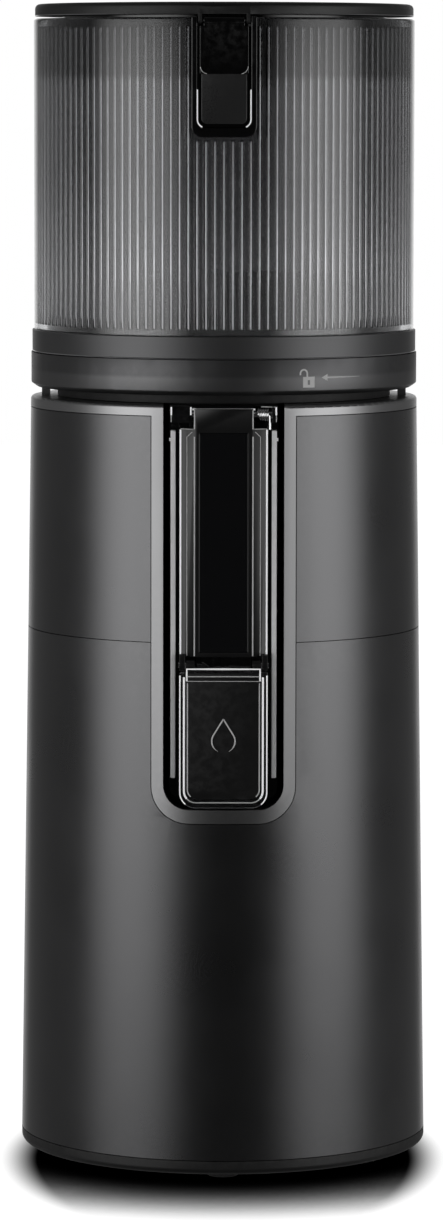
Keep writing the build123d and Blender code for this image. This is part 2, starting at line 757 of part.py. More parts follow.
switch_inner = (SWITCH_HALF[0] - SWITCH_WALL, SWITCH_HALF[1] - SWITCH_WALL)
rocker_y = panel_y - ROCKER_INSET
with BuildPart() as switch_housing:
    switch_y = (panel_y + SWITCH_PROUD - SWITCH_DEPTH, panel_y + SWITCH_PROUD)
    block((-SWITCH_HALF[0], SWITCH_HALF[0]), switch_y, (SWITCH_Z - SWITCH_HALF[1], SWITCH_Z + SWITCH_HALF[1]))
    block(
        (-switch_inner[0], switch_inner[0]), (switch_y[0] + SWITCH_WALL, switch_y[1]),
        (SWITCH_Z - switch_inner[1], SWITCH_Z + switch_inner[1]), mode=Mode.SUBTRACT,
    )
    axle_at = (rocker_y, SWITCH_Z)
    cross_rod(ROCKER_AXLE_R + RUN, (-SWITCH_HALF[0], SWITCH_HALF[0]), axle_at, mode=Mode.SUBTRACT)
save(switch_housing, "switch_housing")

with BuildPart() as power_rocker:
    tilt = radians(ROCKER_TILT)
    rocker_plane = Plane(
        origin=(-switch_inner[0] + SEAM, rocker_y, SWITCH_Z), x_dir=(0, cos(tilt), sin(tilt)), z_dir=(1, 0, 0)
    )
    with BuildSketch(rocker_plane) as rocker_side:
        with BuildLine():
            Polyline(
                (-4, -2), (1.5, -ROCKER_LENGTH / 2), (3.6, -ROCKER_LENGTH / 2), (2.6, 0),
                (3.6, ROCKER_LENGTH / 2), (1.5, ROCKER_LENGTH / 2), (-4, 2), close=True,
            )
        make_face()
    extrude(rocker_side.sketch, amount=2 * (switch_inner[0] - SEAM))
    cross_rod(ROCKER_AXLE_R, (-SWITCH_HALF[0] + RUN, SWITCH_HALF[0] - RUN), axle_at)
save(power_rocker, "power_rocker")

# ---------------------------------------------------------------- motor
with BuildPart() as motor_dampers:
    posts(DAMPER_R, plate_top, bell_low, damper_circle, DAMPERS, DAMPER_START)
save(motor_dampers, "motor_dampers")

with BuildPart() as motor_end_bell:
    tube(MOTOR_R, BEARING_R, bell_low, bell_top)
    posts(MOTOR_HOLE_R, bell_low, bell_top, BELL_HOLE_CIRCLE, MOTOR_HOLES, mode=Mode.SUBTRACT)
save(motor_end_bell, "motor_end_bell")

with BuildPart() as motor_can:
    tube(MOTOR_R, MOTOR_R - MOTOR_WALL, bell_top, can_top)
    tube(MOTOR_R, BEARING_R, can_top - CAN_END_T, can_top)
    tube(BEARING_R + BEARING_SEAT, BEARING_R, can_top - BEARING_H, can_top)
    posts(MOTOR_HOLE_R, can_top - CAN_END_T, can_top, CAN_HOLE_CIRCLE, MOTOR_HOLES, mode=Mode.SUBTRACT)
save(motor_can, "motor_can")

with BuildPart() as motor_bearings:
    tube(BEARING_R, MOTOR_SHAFT_R + RUN, bell_low, bell_low + BEARING_H)
    tube(BEARING_R, MOTOR_SHAFT_R + RUN, can_top - BEARING_H, can_top)
save(motor_bearings, "motor_bearings")

with BuildPart() as motor_stator:
    tube(MOTOR_R - MOTOR_WALL - RUN, STATOR_BORE_R, stack_low, stack_low + STACK_LENGTH)
    posts(
        STATOR_SLOT_R, stack_low, stack_low + STACK_LENGTH,
        STATOR_BORE_R + STATOR_SLOT_OUT, STATOR_SLOTS, mode=Mode.SUBTRACT,
    )
save(motor_stator, "motor_stator")

with BuildPart() as motor_rotor:
    tube(STATOR_BORE_R - ROTOR_GAP, MOTOR_SHAFT_R, stack_low, stack_low + STACK_LENGTH)
    posts(
        ROTOR_BAR_R, stack_low, stack_low + STACK_LENGTH,
        STATOR_BORE_R - ROTOR_BAR_IN, ROTOR_BARS, mode=Mode.SUBTRACT,
    )
save(motor_rotor, "motor_rotor")

with BuildPart() as motor_shaft:
    tube(MOTOR_SHAFT_R, 0, bell_low, gearbox_floor)
    tube(PINION_SHAFT_R, 0, gearbox_floor, first_low + FIRST_H + PIN_PROUD + 0.2)
save(motor_shaft, "motor_shaft")

with BuildPart() as cooling_fan:
    fan_low = bell_top + FAN_LIFT
    tube(FAN_HUB_R, MOTOR_SHAFT_R, fan_low, fan_low + FAN_H)
    with BuildSketch(Plane.XY.offset(fan_low)) as blades:
        with PolarLocations((FAN_HUB_R + FAN_R - 1) / 2, FAN_BLADES):
            Rectangle(FAN_R - FAN_HUB_R + 1, FAN_BLADE_T)
    extrude(blades.sketch, amount=FAN_H)
save(cooling_fan, "cooling_fan")

with BuildPart() as control_board:
    block((-BOARD_HALF, BOARD_HALF), (board_y, board_y + BOARD_T), (plate_top + SEAM, BOARD_TOP_Z))
save(control_board, "control_board")

with BuildPart() as board_components:
    part_y = board_y + BOARD_T
    for x, z, width, height, depth in (
        (-15, 24, 12, 14, 5.0), (14, 22, 14, 10, 4.5), (-12, 52, 16, 12, 5.0), (12, 44, 10, 16, 4.0),
    ):
        block((x - width / 2, x + width / 2), (part_y, part_y + depth), (z - height / 2, z + height / 2))
save(board_components, "board_components")


# ---------------------------------------------------------------- gearbox
def involute(angle):
    """Involute function of a pressure angle in radians."""
    return tan(angle) - angle


def gear(module, teeth, low, height, bore, at=(0, 0), phase=0.0):
    """Spur gear with one tooth centred on the phase angle, in degrees."""
    pitch_r = module * teeth / 2
    base_r = pitch_r * cos(radians(PRESSURE_ANGLE))
    root_r = pitch_r - DEDENDUM * module
    tip_r = pitch_r + ADDENDUM * module
    pitch_half = (pi * module / 2 - BACKLASH) / (2 * pitch_r)

    def flank(radius):
        """Half angle of a tooth at a radius."""
        pressure = acos(min(1.0, base_r / radius))
        return pitch_half + involute(radians(PRESSURE_ANGLE)) - involute(pressure)

    start_r = max(base_r, root_r)
    radii = [root_r - 0.2 * module, start_r, (start_r + pitch_r) / 2, pitch_r, (pitch_r + tip_r) / 2, tip_r]
    upper = [(r * cos(flank(max(r, start_r))), r * sin(flank(max(r, start_r)))) for r in radii]
    lower = [(x, -y) for x, y in reversed(upper)]
    with BuildSketch(Plane.XY) as tooth:
        with BuildLine():
            Polyline(*upper, *lower, close=True)
        make_face()
    with BuildSketch(Plane.XY.offset(low)) as wheel:
        with Locations(at):
            Circle(root_r)
            with PolarLocations(0, teeth, start_angle=phase):
                add(tooth.sketch)
            if bore:
                Circle(bore, mode=Mode.SUBTRACT)
    extrude(wheel.sketch, amount=height)


with BuildPart() as motor_pinion:
    gear(MODULE_FIRST, TEETH_SMALL, first_low, FIRST_H, PINION_SHAFT_R, phase=first_angle)
save(motor_pinion, "motor_pinion")

with BuildPart() as first_gear:
    gear(
        MODULE_FIRST, TEETH_FIRST, first_low, FIRST_H, GEAR_PIN_R + RUN, at=first_axis,
        phase=first_angle + 180 + 180 / TEETH_FIRST,
    )
    tube(HUB_FIRST_R, GEAR_PIN_R + RUN, first_low + FIRST_H, second_low, at=first_axis)
    gear(
        MODULE_SECOND, TEETH_SMALL, second_low, SECOND_H, GEAR_PIN_R + RUN, at=first_axis,
        phase=between_angle,
    )
save(first_gear, "first_gear")

with BuildPart() as second_gear:
    gear(
        MODULE_SECOND, TEETH_SECOND, second_low, SECOND_H, GEAR_PIN_R + RUN, at=second_axis,
        phase=between_angle + 180 + 180 / TEETH_SECOND,
    )
    tube(HUB_SECOND_R, GEAR_PIN_R + RUN, second_low + SECOND_H, output_low, at=second_axis)
    gear(
        MODULE_OUTPUT, TEETH_SMALL, output_low, OUTPUT_H, GEAR_PIN_R + RUN, at=second_axis,
        phase=SECOND_AXIS_ANGLE + 180,
    )
save(second_gear, "second_gear")

with BuildPart() as output_gear:
    gear(
        MODULE_OUTPUT, TEETH_OUTPUT, output_low, OUTPUT_H, SHAFT_R,
        phase=SECOND_AXIS_ANGLE + 180 / TEETH_OUTPUT,
    )
    posts(
        LIGHTENING_R, output_low, output_high, LIGHTENING_CIRCLE, LIGHTENING_HOLES, mode=Mode.SUBTRACT,
    )
save(output_gear, "output_gear")

with BuildPart() as gearbox_base:
    tube(GEARBOX_R, 0, gearbox_low, gearbox_floor)
    tube(GEARBOX_R, GEARBOX_R - GEARBOX_WALL, gearbox_low, cover_low)
    tube(MOTOR_SHAFT_R + SHAFT_HOLE_GAP, 0, gearbox_low, gearbox_floor, mode=Mode.SUBTRACT)
    tube(GEAR_PIN_R + PIN_BOSS_WALL, 0, gearbox_low, first_low - SEAM, at=first_axis)
    tube(GEAR_PIN_R + PIN_BOSS_WALL, 0, gearbox_low, second_low - SEAM, at=second_axis)
    posts(
        GEARBOX_POST_R, gearbox_low, cover_low, *gearbox_screw_ring,
    )
    posts(
        SCREW_R + RUN, cover_low - GEARBOX_PILOT_L, cover_low, *gearbox_screw_ring, mode=Mode.SUBTRACT,
    )
    tube(GEAR_PIN_R, 0, gearbox_low + PIN_SEAT, cover_low, at=first_axis, mode=Mode.SUBTRACT)
    tube(GEAR_PIN_R, 0, gearbox_low + PIN_SEAT, cover_low, at=second_axis, mode=Mode.SUBTRACT)
save(gearbox_base, "gearbox_base")

with BuildPart() as gear_pins:
    tube(GEAR_PIN_R, 0, gearbox_low + PIN_SEAT, second_low + SECOND_H + PIN_PROUD, at=first_axis)
    tube(GEAR_PIN_R, 0, gearbox_low + PIN_SEAT, cover_low + PIN_TOP_SEAT, at=second_axis)
save(gear_pins, "gear_pins")

with BuildPart() as gearbox_cover:
    tube(GEARBOX_R, SHAFT_R + RUN + BUSH_WALL, cover_low, cover_top)
    tube(BOSS_R, SHAFT_R + RUN + BUSH_WALL, cover_low, boss_top)
    tube(well_stand_r, well_stand_r - WELL_STAND_W, cover_low, cover_top + WELL_STAND)
    tube(GEAR_PIN_R, 0, cover_low, cover_low + PIN_TOP_SEAT, at=second_axis, mode=Mode.SUBTRACT)
    posts(
        SCREW_R + SCREW_FIT, cover_low, cover_top, *gearbox_screw_ring, mode=Mode.SUBTRACT,
    )
save(gearbox_cover, "gearbox_cover")

with BuildPart() as gearbox_screws:
    posts(
        SCREW_HEAD_R, cover_top, cover_top + SCREW_HEAD_H, *gearbox_screw_ring,
    )
    posts(
        SCREW_R, cover_top - GEARBOX_SCREW_L, cover_top, *gearbox_screw_ring,
    )
save(gearbox_screws, "gearbox_screws")

with BuildPart() as output_bearing:
    tube(SHAFT_R + RUN + BUSH_WALL, SHAFT_R + RUN, cover_low, boss_top)
save(output_bearing, "output_bearing")

with BuildPart() as shaft_seal:
    tube(BOSS_R - SEAL_LIP, SHAFT_R + RUN, boss_top, seal_top)
save(shaft_seal, "shaft_seal")

with BuildPart() as drive_shaft:
    tube(SHAFT_R, 0, output_low, hex_low)
    with BuildSketch(Plane.XY.offset(hex_low)) as hexagon:
        RegularPolygon(HEX_FLATS / 2, 6, major_radius=False)
    extrude(hexagon.sketch, amount=HEX_LENGTH)
    chamfer(drive_shaft.edges().group_by(Axis.Z)[-1], 0.8)
save(drive_shaft, "drive_shaft")

# ---------------------------------------------------------------- juicing chamber
with BuildPart() as drum:
    tube(DRUM_R, DRUM_R - DRUM_WALL, drum_low, neck_low)
    tube(DRUM_R, SOCKET_R + DRUM_SEAL_W, drum_floor_low, drum_floor)
    tube(neck_r, DRUM_R - DRUM_WALL, neck_low, neck_top)
    with BuildSketch(Plane.XY.offset(lug_z)) as lug_ring:
        Circle(neck_r + LUG_REACH)
        Circle(neck_r - 0.5, mode=Mode.SUBTRACT)
    with BuildSketch(Plane.XY.offset(lug_z)) as lug_wedges:
        with PolarLocations(0, LUGS, start_angle=45):
            with BuildLine():
                Polyline((0, 0), polar(collar_r, -LUG_ANGLE / 2), polar(collar_r, LUG_ANGLE / 2), close=True)
            make_face()
    extrude(lug_ring.sketch & lug_wedges.sketch, amount=LUG_H)
    with BuildSketch(front_plane(0)) as outlet:
        with Locations((0, nozzle_z)):
            Circle(NOZZLE_BORE_R)
    extrude(outlet.sketch, amount=DRUM_R + CUT_PAST, mode=Mode.SUBTRACT)
    block(
        (-SPOUT_HALF + SPOUT_WALL, SPOUT_HALF - SPOUT_WALL), (0, DRUM_R + CUT_PAST),
        (spout_low + SPOUT_WALL, spout_low + SPOUT_HEIGHT - SPOUT_WALL), mode=Mode.SUBTRACT,
    )
save(drum, "drum")

with BuildPart() as drum_seal:
    tube(SOCKET_R + DRUM_SEAL_W, SOCKET_R + RUN, drum_floor_low, drum_floor)
save(drum_seal, "drum_seal")

hinge_at = (hinge_y, hinge_z)
hinge_pin_x = (-HINGE_LUG[1] + HINGE_PIN_END, HINGE_LUG[1] - HINGE_PIN_END)
with BuildPart() as drum_column:
    panel(COLUMN_HALF, column_low, column_top, COLUMN_CORNER, -DRUM_R + COLUMN_ROOT, column_front_y)
    for x in both_sides(HINGE_LUG):
        block(x, (hinge_lug_front_y, column_front_y), (hinge_lug_low, column_top))
    block(
        (-HINGE_LUG[0], HINGE_LUG[0]), (hinge_lug_front_y, hinge_y + KNUCKLE_R + 2 * SEAM),
        (hinge_lug_low - 3, column_top), mode=Mode.SUBTRACT,
    )
    cross_rod(HINGE_PIN_R, hinge_pin_x, hinge_at, mode=Mode.SUBTRACT)
    spring_bay_x = (HINGE_LUG[0], HINGE_LUG[1] - SPRING_END)
    cross_rod(SPRING_R + SEAM, spring_bay_x, hinge_at, mode=Mode.SUBTRACT)
    block(
        spring_bay_x, (hinge_lug_front_y - CUT_PAST, hinge_y),
        (hinge_lug_low - CUT_PAST, column_top + CUT_PAST), mode=Mode.SUBTRACT,
    )
    with BuildSketch(front_plane(column_front_y)) as nozzle:
        with Locations((0, nozzle_z)):
            Circle(NOZZLE_R)
    extrude(nozzle.sketch, amount=column_front_y - nozzle_front_y)
    with BuildSketch(front_plane(0)) as channel:
        with Locations((0, nozzle_z)):
            Circle(NOZZLE_BORE_R)
    extrude(channel.sketch, amount=-nozzle_front_y, mode=Mode.SUBTRACT)
    tube(DRUM_R + COLUMN_JOIN, 0, column_low - 1, column_top + 1, mode=Mode.SUBTRACT)
save(drum_column, "drum_column")

with BuildPart() as column_rails:
    for x in both_sides((RAIL_INNER, RAIL_INNER + RAIL_W)):
        block(x, (column_front_y - RAIL_DEPTH, column_front_y), (RAIL_LOW_Z, rail_top))
save(column_rails, "column_rails")

with BuildPart() as cover_pin:
    cross_rod(HINGE_PIN_R, hinge_pin_x, hinge_at)
save(cover_pin, "cover_pin")

with BuildPart() as cover_spring:
    spring_x = (HINGE_LUG[0] + SEAM, HINGE_LUG[1] - SPRING_END)
    cross_rod(SPRING_R, spring_x, hinge_at)
    cross_rod(SPRING_R - SPRING_WIRE, spring_x, hinge_at, mode=Mode.SUBTRACT)
save(cover_spring, "cover_spring")

with BuildPart() as pulp_spout:
    extrude(spout_section(0, bore=True), amount=-spout_y)
    tube(well_r, 0, drum_low - 2, neck_top, mode=Mode.SUBTRACT)
save(pulp_spout, "pulp_spout")

# ---------------------------------------------------------------- strainer, auger
strainer_low = drum_floor + SEAM
with BuildPart() as strainer:
    turned(
        (STRAINER_LOW_R, strainer_low),
        (STRAINER_LOW_R + STRAINER_WALL, strainer_low),
        (STRAINER_TOP_R + STRAINER_WALL, strainer_top),
        (STRAINER_TOP_R, strainer_top),
    )
    tube(DRUM_R - DRUM_WALL - SEAM, STRAINER_TOP_R, strainer_top - STRAINER_RIM, strainer_top)
    with BuildSketch(Plane.XY.offset(strainer_low + SLIT_LIFT)) as slits:
        with PolarLocations(STRAINER_TOP_R, SLITS, start_angle=180 / SLITS):
            Rectangle(6 * STRAINER_WALL, SLIT_W)
    extrude(slits.sketch, amount=strainer_top - strainer_low - SLIT_LIFT - SLIT_DROP, mode=Mode.SUBTRACT)
    block(
        (-SPOUT_HALF + SPOUT_WALL, SPOUT_HALF - SPOUT_WALL), (0, DRUM_R),
        (strainer_low + PULP_GATE_LIFT, spout_low + SPOUT_HEIGHT - SPOUT_WALL - PULP_GATE_DROP),
        mode=Mode.SUBTRACT,
    )
save(strainer, "strainer")

auger_low = drum_floor + AUGER_LIFT
with BuildSketch(Plane.XY.offset(auger_low)) as auger_section:
    Circle(AUGER_CORE_R)
    with PolarLocations((AUGER_CORE_R + AUGER_R - FLIGHT_ROOT) / 2, FLIGHTS):
        RectangleRounded(AUGER_R - AUGER_CORE_R + FLIGHT_ROOT, FLIGHT_T, 0.4 * FLIGHT_T)
auger_twist = Solid.extrude_linear_with_rotation(
    section=auger_section.sketch.faces()[0],
    center=Vector(0, 0, auger_low),
    normal=Vector(0, 0, auger_top - auger_low),
    angle=AUGER_TURN,
)
with BuildPart() as auger:
    add(auger_twist)
    tube(SOCKET_R, 0, auger_low - 1, socket_top, mode=Mode.SUBTRACT)
save(auger, "auger")

with BuildPart() as auger_socket:
    tube(SOCKET_R, 0, socket_low, socket_top)
    with BuildSketch(Plane.XY.offset(socket_low)) as hex_hole:
        RegularPolygon(HEX_FLATS / 2 + HEX_FIT, 6, major_radius=False)
    extrude(hex_hole.sketch, amount=hex_top + SOCKET_SPARE - socket_low, mode=Mode.SUBTRACT)
    tube(SHAFT_R + SOCKET_MOUTH_GAP, 0, socket_low, hex_low + 1, mode=Mode.SUBTRACT)
save(auger_socket, "auger_socket")

with BuildPart() as feed_wing:
    tube(WING_HUB_R, 0, auger_top, hopper_seam_z)
    with BuildSketch(Plane.XY.offset(hopper_seam_z - WING_ROOT)) as wing_plan:
        with BuildLine():
            inner = ThreePointArc((0, 0), ((WING_R - 2) / 2, WING_BEND / 2), (WING_R - 2, 0))
            offset(inner, amount=WING_T / 2)
        make_face()
    extrude(wing_plan.sketch, amount=WING_H + WING_ROOT)
    chamfer(feed_wing.edges().group_by(Axis.Z)[-1], 0.6)
save(feed_wing, "feed_wing")

# ---------------------------------------------------------------- front cover
with BuildPart() as channel_cover:
    with BuildSketch(Plane.XY.offset(COVER_LOW_Z)) as section:
        with BuildLine():
            Polyline(
                (-COVER_HALF, cover_back_y), (-COVER_HALF, cover_side_y), (-COVER_BEVEL[0], cover_bevel_y),
                (-COVER_FACE[0], cover_face_y), (COVER_FACE[0], cover_face_y),
                (COVER_BEVEL[0], cover_bevel_y), (COVER_HALF, cover_side_y), (COVER_HALF, cover_back_y),
                close=True,
            )
        make_face()
    extrude(section.sketch, amount=tongue_top - COVER_LOW_Z)
    with BuildSketch(front_plane(column_front_y)) as outline:
        with BuildLine():
            Polyline(
                (-COVER_HALF, COVER_LOW_Z), (COVER_HALF, COVER_LOW_Z), (COVER_HALF, shoulder_z - SHOULDER),
                (COVER_HALF - SHOULDER, shoulder_z), (TONGUE_HALF, shoulder_z), (TONGUE_HALF, tongue_top),
                (-TONGUE_HALF, tongue_top), (-TONGUE_HALF, shoulder_z), (-COVER_HALF + SHOULDER, shoulder_z),
                (-COVER_HALF, shoulder_z - SHOULDER), close=True,
            )
        make_face()
    extrude(outline.sketch, amount=KNUCKLE_R + CAP_FRONT_OUT, mode=Mode.INTERSECT)
    cross_rod(KNUCKLE_R, (-TONGUE_HALF, TONGUE_HALF), hinge_at)
    for x in both_sides((RIB_HALF - RIB_T, RIB_HALF)):
        block(x, (cover_back_y, rib_back_y), (COVER_LOW_Z + RIB_LIFT, shoulder_z - SHOULDER))
    for x in both_sides((COVER_HALF - CAP_EAR_W, COVER_HALF)):
        block(x, (cap_pin_y - CAP_EAR_R, cover_back_y), (cap_pin_z, COVER_LOW_Z + 1))
        cross_rod(CAP_EAR_R, x, (cap_pin_y, cap_pin_z))
    cross_rod(HINGE_PIN_R + RUN, (-TONGUE_HALF, TONGUE_HALF), hinge_at, mode=Mode.SUBTRACT)
    cross_rod(CAP_PIN_R, (-COVER_HALF, COVER_HALF), (cap_pin_y, cap_pin_z), mode=Mode.SUBTRACT)
    block(
        (-COVER_FACE[0] + INLAY_MARGIN, COVER_FACE[0] - INLAY_MARGIN), (cover_face_y, cover_face_y + INLAY_T),
        (COVER_LOW_Z + INLAY_MARGIN, shoulder_z - INLAY_MARGIN), mode=Mode.SUBTRACT,
    )
save(channel_cover, "channel_cover")

with BuildPart() as cover_inlay:
    inlay_half = COVER_FACE[0] - INLAY_MARGIN - SEAM / 2
    block(
        (-inlay_half, inlay_half), (cover_face_y, cover_face_y + INLAY_T),
        (COVER_LOW_Z + INLAY_MARGIN + SEAM / 2, shoulder_z - INLAY_MARGIN - SEAM / 2),
    )
save(cover_inlay, "cover_inlay")

with BuildPart() as cap_pins:
    for x in both_sides((CAP_BARREL[0], COVER_HALF + CAP_PIN_PROUD)):
        cross_rod(CAP_PIN_R, x, (cap_pin_y, cap_pin_z))
save(cap_pins, "cap_pins")

# ---------------------------------------------------------------- juice cap
with BuildPart() as cap_shell:
    panel(COVER_HALF, cap_low, cap_top, CAP_CORNER, cap_back_y, cap_front_y)
    block(
        (-COVER_HALF, COVER_HALF), (cap_front_y, cap_step_y), (cap_step_z, cap_top), mode=Mode.SUBTRACT,
    )
    panel(
        CAP_CORE_HALF, cap_low + CAP_RIM, cap_top + 1, CAP_CORNER - CAP_SIDE,
        cap_back_y, cap_front_y, mode=Mode.SUBTRACT,
    )
    fillet(cap_shell.edges().group_by(Axis.Y)[0].filter_by(GeomType.CIRCLE), CAP_EDGE)
save(cap_shell, "cap_shell")

core_gap = SEAM / 3
with BuildPart() as cap_core:
    panel(
        CAP_CORE_HALF - core_gap, cap_low + CAP_RIM + core_gap, cap_top, CAP_CORNER - CAP_SIDE - core_gap,
        cap_back_y, cap_front_y - CAP_CORE_PROUD,
    )
    block(
        (-COVER_HALF, COVER_HALF), (cap_front_y - CAP_CORE_PROUD, cap_step_y),
        (cap_step_z, cap_top), mode=Mode.SUBTRACT,
    )
    for x in both_sides(CAP_BARREL):
        cross_rod(CAP_EAR_R, x, (cap_pin_y, cap_pin_z))
        neck_x = (max(x[0], core_gap - CAP_CORE_HALF), min(x[1], CAP_CORE_HALF - core_gap))
        block(neck_x, (cap_pin_y - CAP_NECK, cap_pin_y + CAP_EAR_R), (cap_top - 1, cap_pin_z))
        cross_rod(CAP_PIN_R + RUN, x, (cap_pin_y, cap_pin_z), mode=Mode.SUBTRACT)
save(cap_core, "cap_core")

with BuildPart() as cap_seal:
    with BuildSketch(front_plane(cap_back_y + SEAL_T)) as seal_disc:
        with Locations((0, nozzle_z)):
            Circle(NOZZLE_R + SEAL_LAP)
    extrude(seal_disc.sketch, amount=SEAL_T)
save(cap_seal, "cap_seal")

# ---------------------------------------------------------------- hopper
with BuildPart() as hopper_collar:
    collar_top = hopper_seam_z - SEAM / 2
    notch_half = LUG_ANGLE / 2 + LUG_NOTCH_FIT
    turned(
        (neck_r + NECK_GAP, collar_low),
        (collar_r - COLLAR_TAPER[0], collar_low),
        (collar_r, collar_low + COLLAR_TAPER[1]),
        (collar_r, collar_top),
        (COLLAR_HOLE_R, collar_top),
        (COLLAR_HOLE_R, web_low),
        (neck_r + LUG_REACH + NECK_GAP, web_low),
        (neck_r + LUG_REACH + NECK_GAP, lug_z - SEAM),
        (neck_r + NECK_GAP, lug_z - SEAM),
    )
    with BuildSketch(Plane.XY.offset(collar_low)) as notch_ring:
        Circle(neck_r + LUG_REACH + NECK_GAP)
    with BuildSketch(Plane.XY.offset(collar_low)) as notch_wedges:
        with PolarLocations(0, LUGS, start_angle=45 + BAYONET_TURN):
            with BuildLine():
                Polyline((0, 0), polar(collar_r, -notch_half), polar(collar_r, notch_half), close=True)
            make_face()
    extrude(notch_ring.sketch & notch_wedges.sketch, amount=lug_z - collar_low, mode=Mode.SUBTRACT)
    lower_rims = hopper_collar.edges().filter_by(GeomType.CIRCLE).filter_by(
        lambda edge: edge.radius > collar_r - 0.1 and edge.center().Z < collar_low + COLLAR_TAPER[1] + 0.1
    )
    fillet(lower_rims, COLLAR_EDGE)
save(hopper_collar, "hopper_collar")

with BuildPart() as hopper_seal:
    tube(neck_r - HOPPER_SEAL_IN, DRUM_R - HOPPER_SEAL_LAP, neck_top + SEAM, web_low)
save(hopper_seal, "hopper_seal")

with BuildPart() as hopper_wall:
    wall_low = hopper_seam_z + SEAM / 2
    turned(
        (hopper_inner, wall_low),
        (band_r, wall_low),
        (band_r, band_top),
        (hopper_r, band_top + BAND_BEVEL),
        (hopper_r, HOPPER_TOP_Z),
        (hopper_inner, HOPPER_TOP_Z),
    )
    fillet(hopper_wall.edges().group_by(Axis.Z)[-1], RIM_EDGE)
save(hopper_wall, "hopper_wall")

with BuildPart() as hopper_funnel:
    funnel_r = hopper_inner - SEAM
    funnel_top = wall_low + FUNNEL_DROP
    turned(
        (FUNNEL_HOLE_R, (hopper_seam_z - SLEEVE_DROP)),
        (FUNNEL_HOLE_R + FUNNEL_T, (hopper_seam_z - SLEEVE_DROP)),
        (FUNNEL_HOLE_R + FUNNEL_T, wall_low),
        (funnel_r, wall_low),
        (funnel_r, funnel_top + FUNNEL_T),
        (FUNNEL_HOLE_R, wall_low + FUNNEL_T),
    )
save(hopper_funnel, "hopper_funnel")

lid_hinge_at = (lid_hinge_y, lid_hinge_z)
with BuildPart() as hinge_bracket:
    block((-BRACKET_HALF, BRACKET_HALF), (hopper_inner, lid_hinge_y + LID_KNUCKLE_R),
          (bracket_low, lid_hinge_z))
    cross_rod(LID_KNUCKLE_R, (-BRACKET_HALF, BRACKET_HALF), lid_hinge_at)
    block(
        (-LID_KNUCKLE_HALF - SEAM, LID_KNUCKLE_HALF + SEAM), (hopper_r, lid_hinge_y + CUT_PAST),
        (lid_hinge_z - LID_KNUCKLE_R - 2 * SEAM, lid_hinge_z + CUT_PAST), mode=Mode.SUBTRACT,
    )
    with BuildSketch(Plane.YZ.offset(-BRACKET_HALF)) as slope:
        with BuildLine():
            Polyline(
                (hopper_r, bracket_low), (lid_hinge_y + CUT_PAST, bracket_low),
                (lid_hinge_y + CUT_PAST, bracket_low + BRACKET_SLOPE), close=True,
            )
        make_face()
    extrude(slope.sketch, amount=2 * BRACKET_HALF, mode=Mode.SUBTRACT)
    cross_rod(LID_PIN_R, (-BRACKET_HALF, BRACKET_HALF), lid_hinge_at, mode=Mode.SUBTRACT)
    tube(hopper_r + SKIN_JOIN, 0, bracket_low - 1, lid_hinge_z + CUT_PAST, mode=Mode.SUBTRACT)
save(hinge_bracket, "hinge_bracket")

with BuildPart() as lid_hinge_pin:
    cross_rod(LID_PIN_R, (-BRACKET_HALF, BRACKET_HALF), lid_hinge_at)
save(lid_hinge_pin, "lid_hinge_pin")

with BuildPart() as latch_frame:
    panel(FRAME_HALF, frame_low, HOPPER_TOP_Z, FRAME_CORNER, -hopper_inner, frame_front_y)
    panel(
        POCKET_HALF, pocket_low, HOPPER_TOP_Z + 1, FRAME_CORNER - POCKET_CORNER_STEP,
        pocket_back_y, frame_front_y - 1, mode=Mode.SUBTRACT,
    )
    tube(hopper_r + SKIN_JOIN, 0, frame_low - 1, HOPPER_TOP_Z + 1, mode=Mode.SUBTRACT)
save(latch_frame, "latch_frame")

# ---------------------------------------------------------------- lid and latch
latch_pin_at = (latch_pin_y, latch_pin_z)
with BuildPart() as hopper_lid:
    tube(lid_r, 0, lid_low, lid_top)
    fillet(hopper_lid.edges().group_by(Axis.Z)[-1], LID_EDGE)
    block(
        (-LID_KNUCKLE_HALF, LID_KNUCKLE_HALF), (lid_r - LID_ROOT, lid_hinge_y + LID_KNUCKLE_R),
        (lid_low, lid_hinge_z + LID_KNUCKLE_R),
    )
    cross_rod(LID_KNUCKLE_R, (-LID_KNUCKLE_HALF, LID_KNUCKLE_HALF), lid_hinge_at)
    cross_rod(
        LID_PIN_R + RUN, (-LID_KNUCKLE_HALF, LID_KNUCKLE_HALF), lid_hinge_at, mode=Mode.SUBTRACT,
    )
    ear_x = (POCKET_HALF - SEAM - LATCH_EAR_W, POCKET_HALF - SEAM)
    ear_plate_y = (latch_front_y + LATCH_PROUD, -lid_r + LID_ROOT)
    block((-ear_x[1], ear_x[1]), ear_plate_y, (lid_low, lid_top - LID_EDGE))
    for x in both_sides(ear_x):
        block(x, (latch_pin_y - LATCH_EAR_R, pocket_back_y - SEAM), (latch_pin_z, lid_low + SEAM))
        cross_rod(LATCH_EAR_R, x, latch_pin_at)
        cross_rod(LATCH_PIN_R + RUN, x, latch_pin_at, mode=Mode.SUBTRACT)
save(hopper_lid, "hopper_lid")

with BuildPart() as lid_plug:
    with BuildSketch(Plane.XZ) as bowl:
        with BuildLine():
            rim_in = plug_r - PLUG_WALL
            Line((plug_r, lid_low), (plug_r, plug_side))
            Spline(
                (plug_r, plug_side), (0, plug_low),
                tangents=((0, -1), (-1, 0)), tangent_scalars=(0.35, 1.0),
            )
            Line((0, plug_low), (0, plug_low + PLUG_WALL))
            Spline(
                (0, plug_low + PLUG_WALL), (rim_in, plug_side + PLUG_WALL),
                tangents=((1, 0), (0, 1)), tangent_scalars=(1.0, 0.35),
            )
            Line((rim_in, plug_side + PLUG_WALL), (rim_in, lid_low))
            Line((rim_in, lid_low), (plug_r, lid_low))
        make_face()
    revolve(bowl.sketch, axis=Axis.Z)
save(lid_plug, "lid_plug")

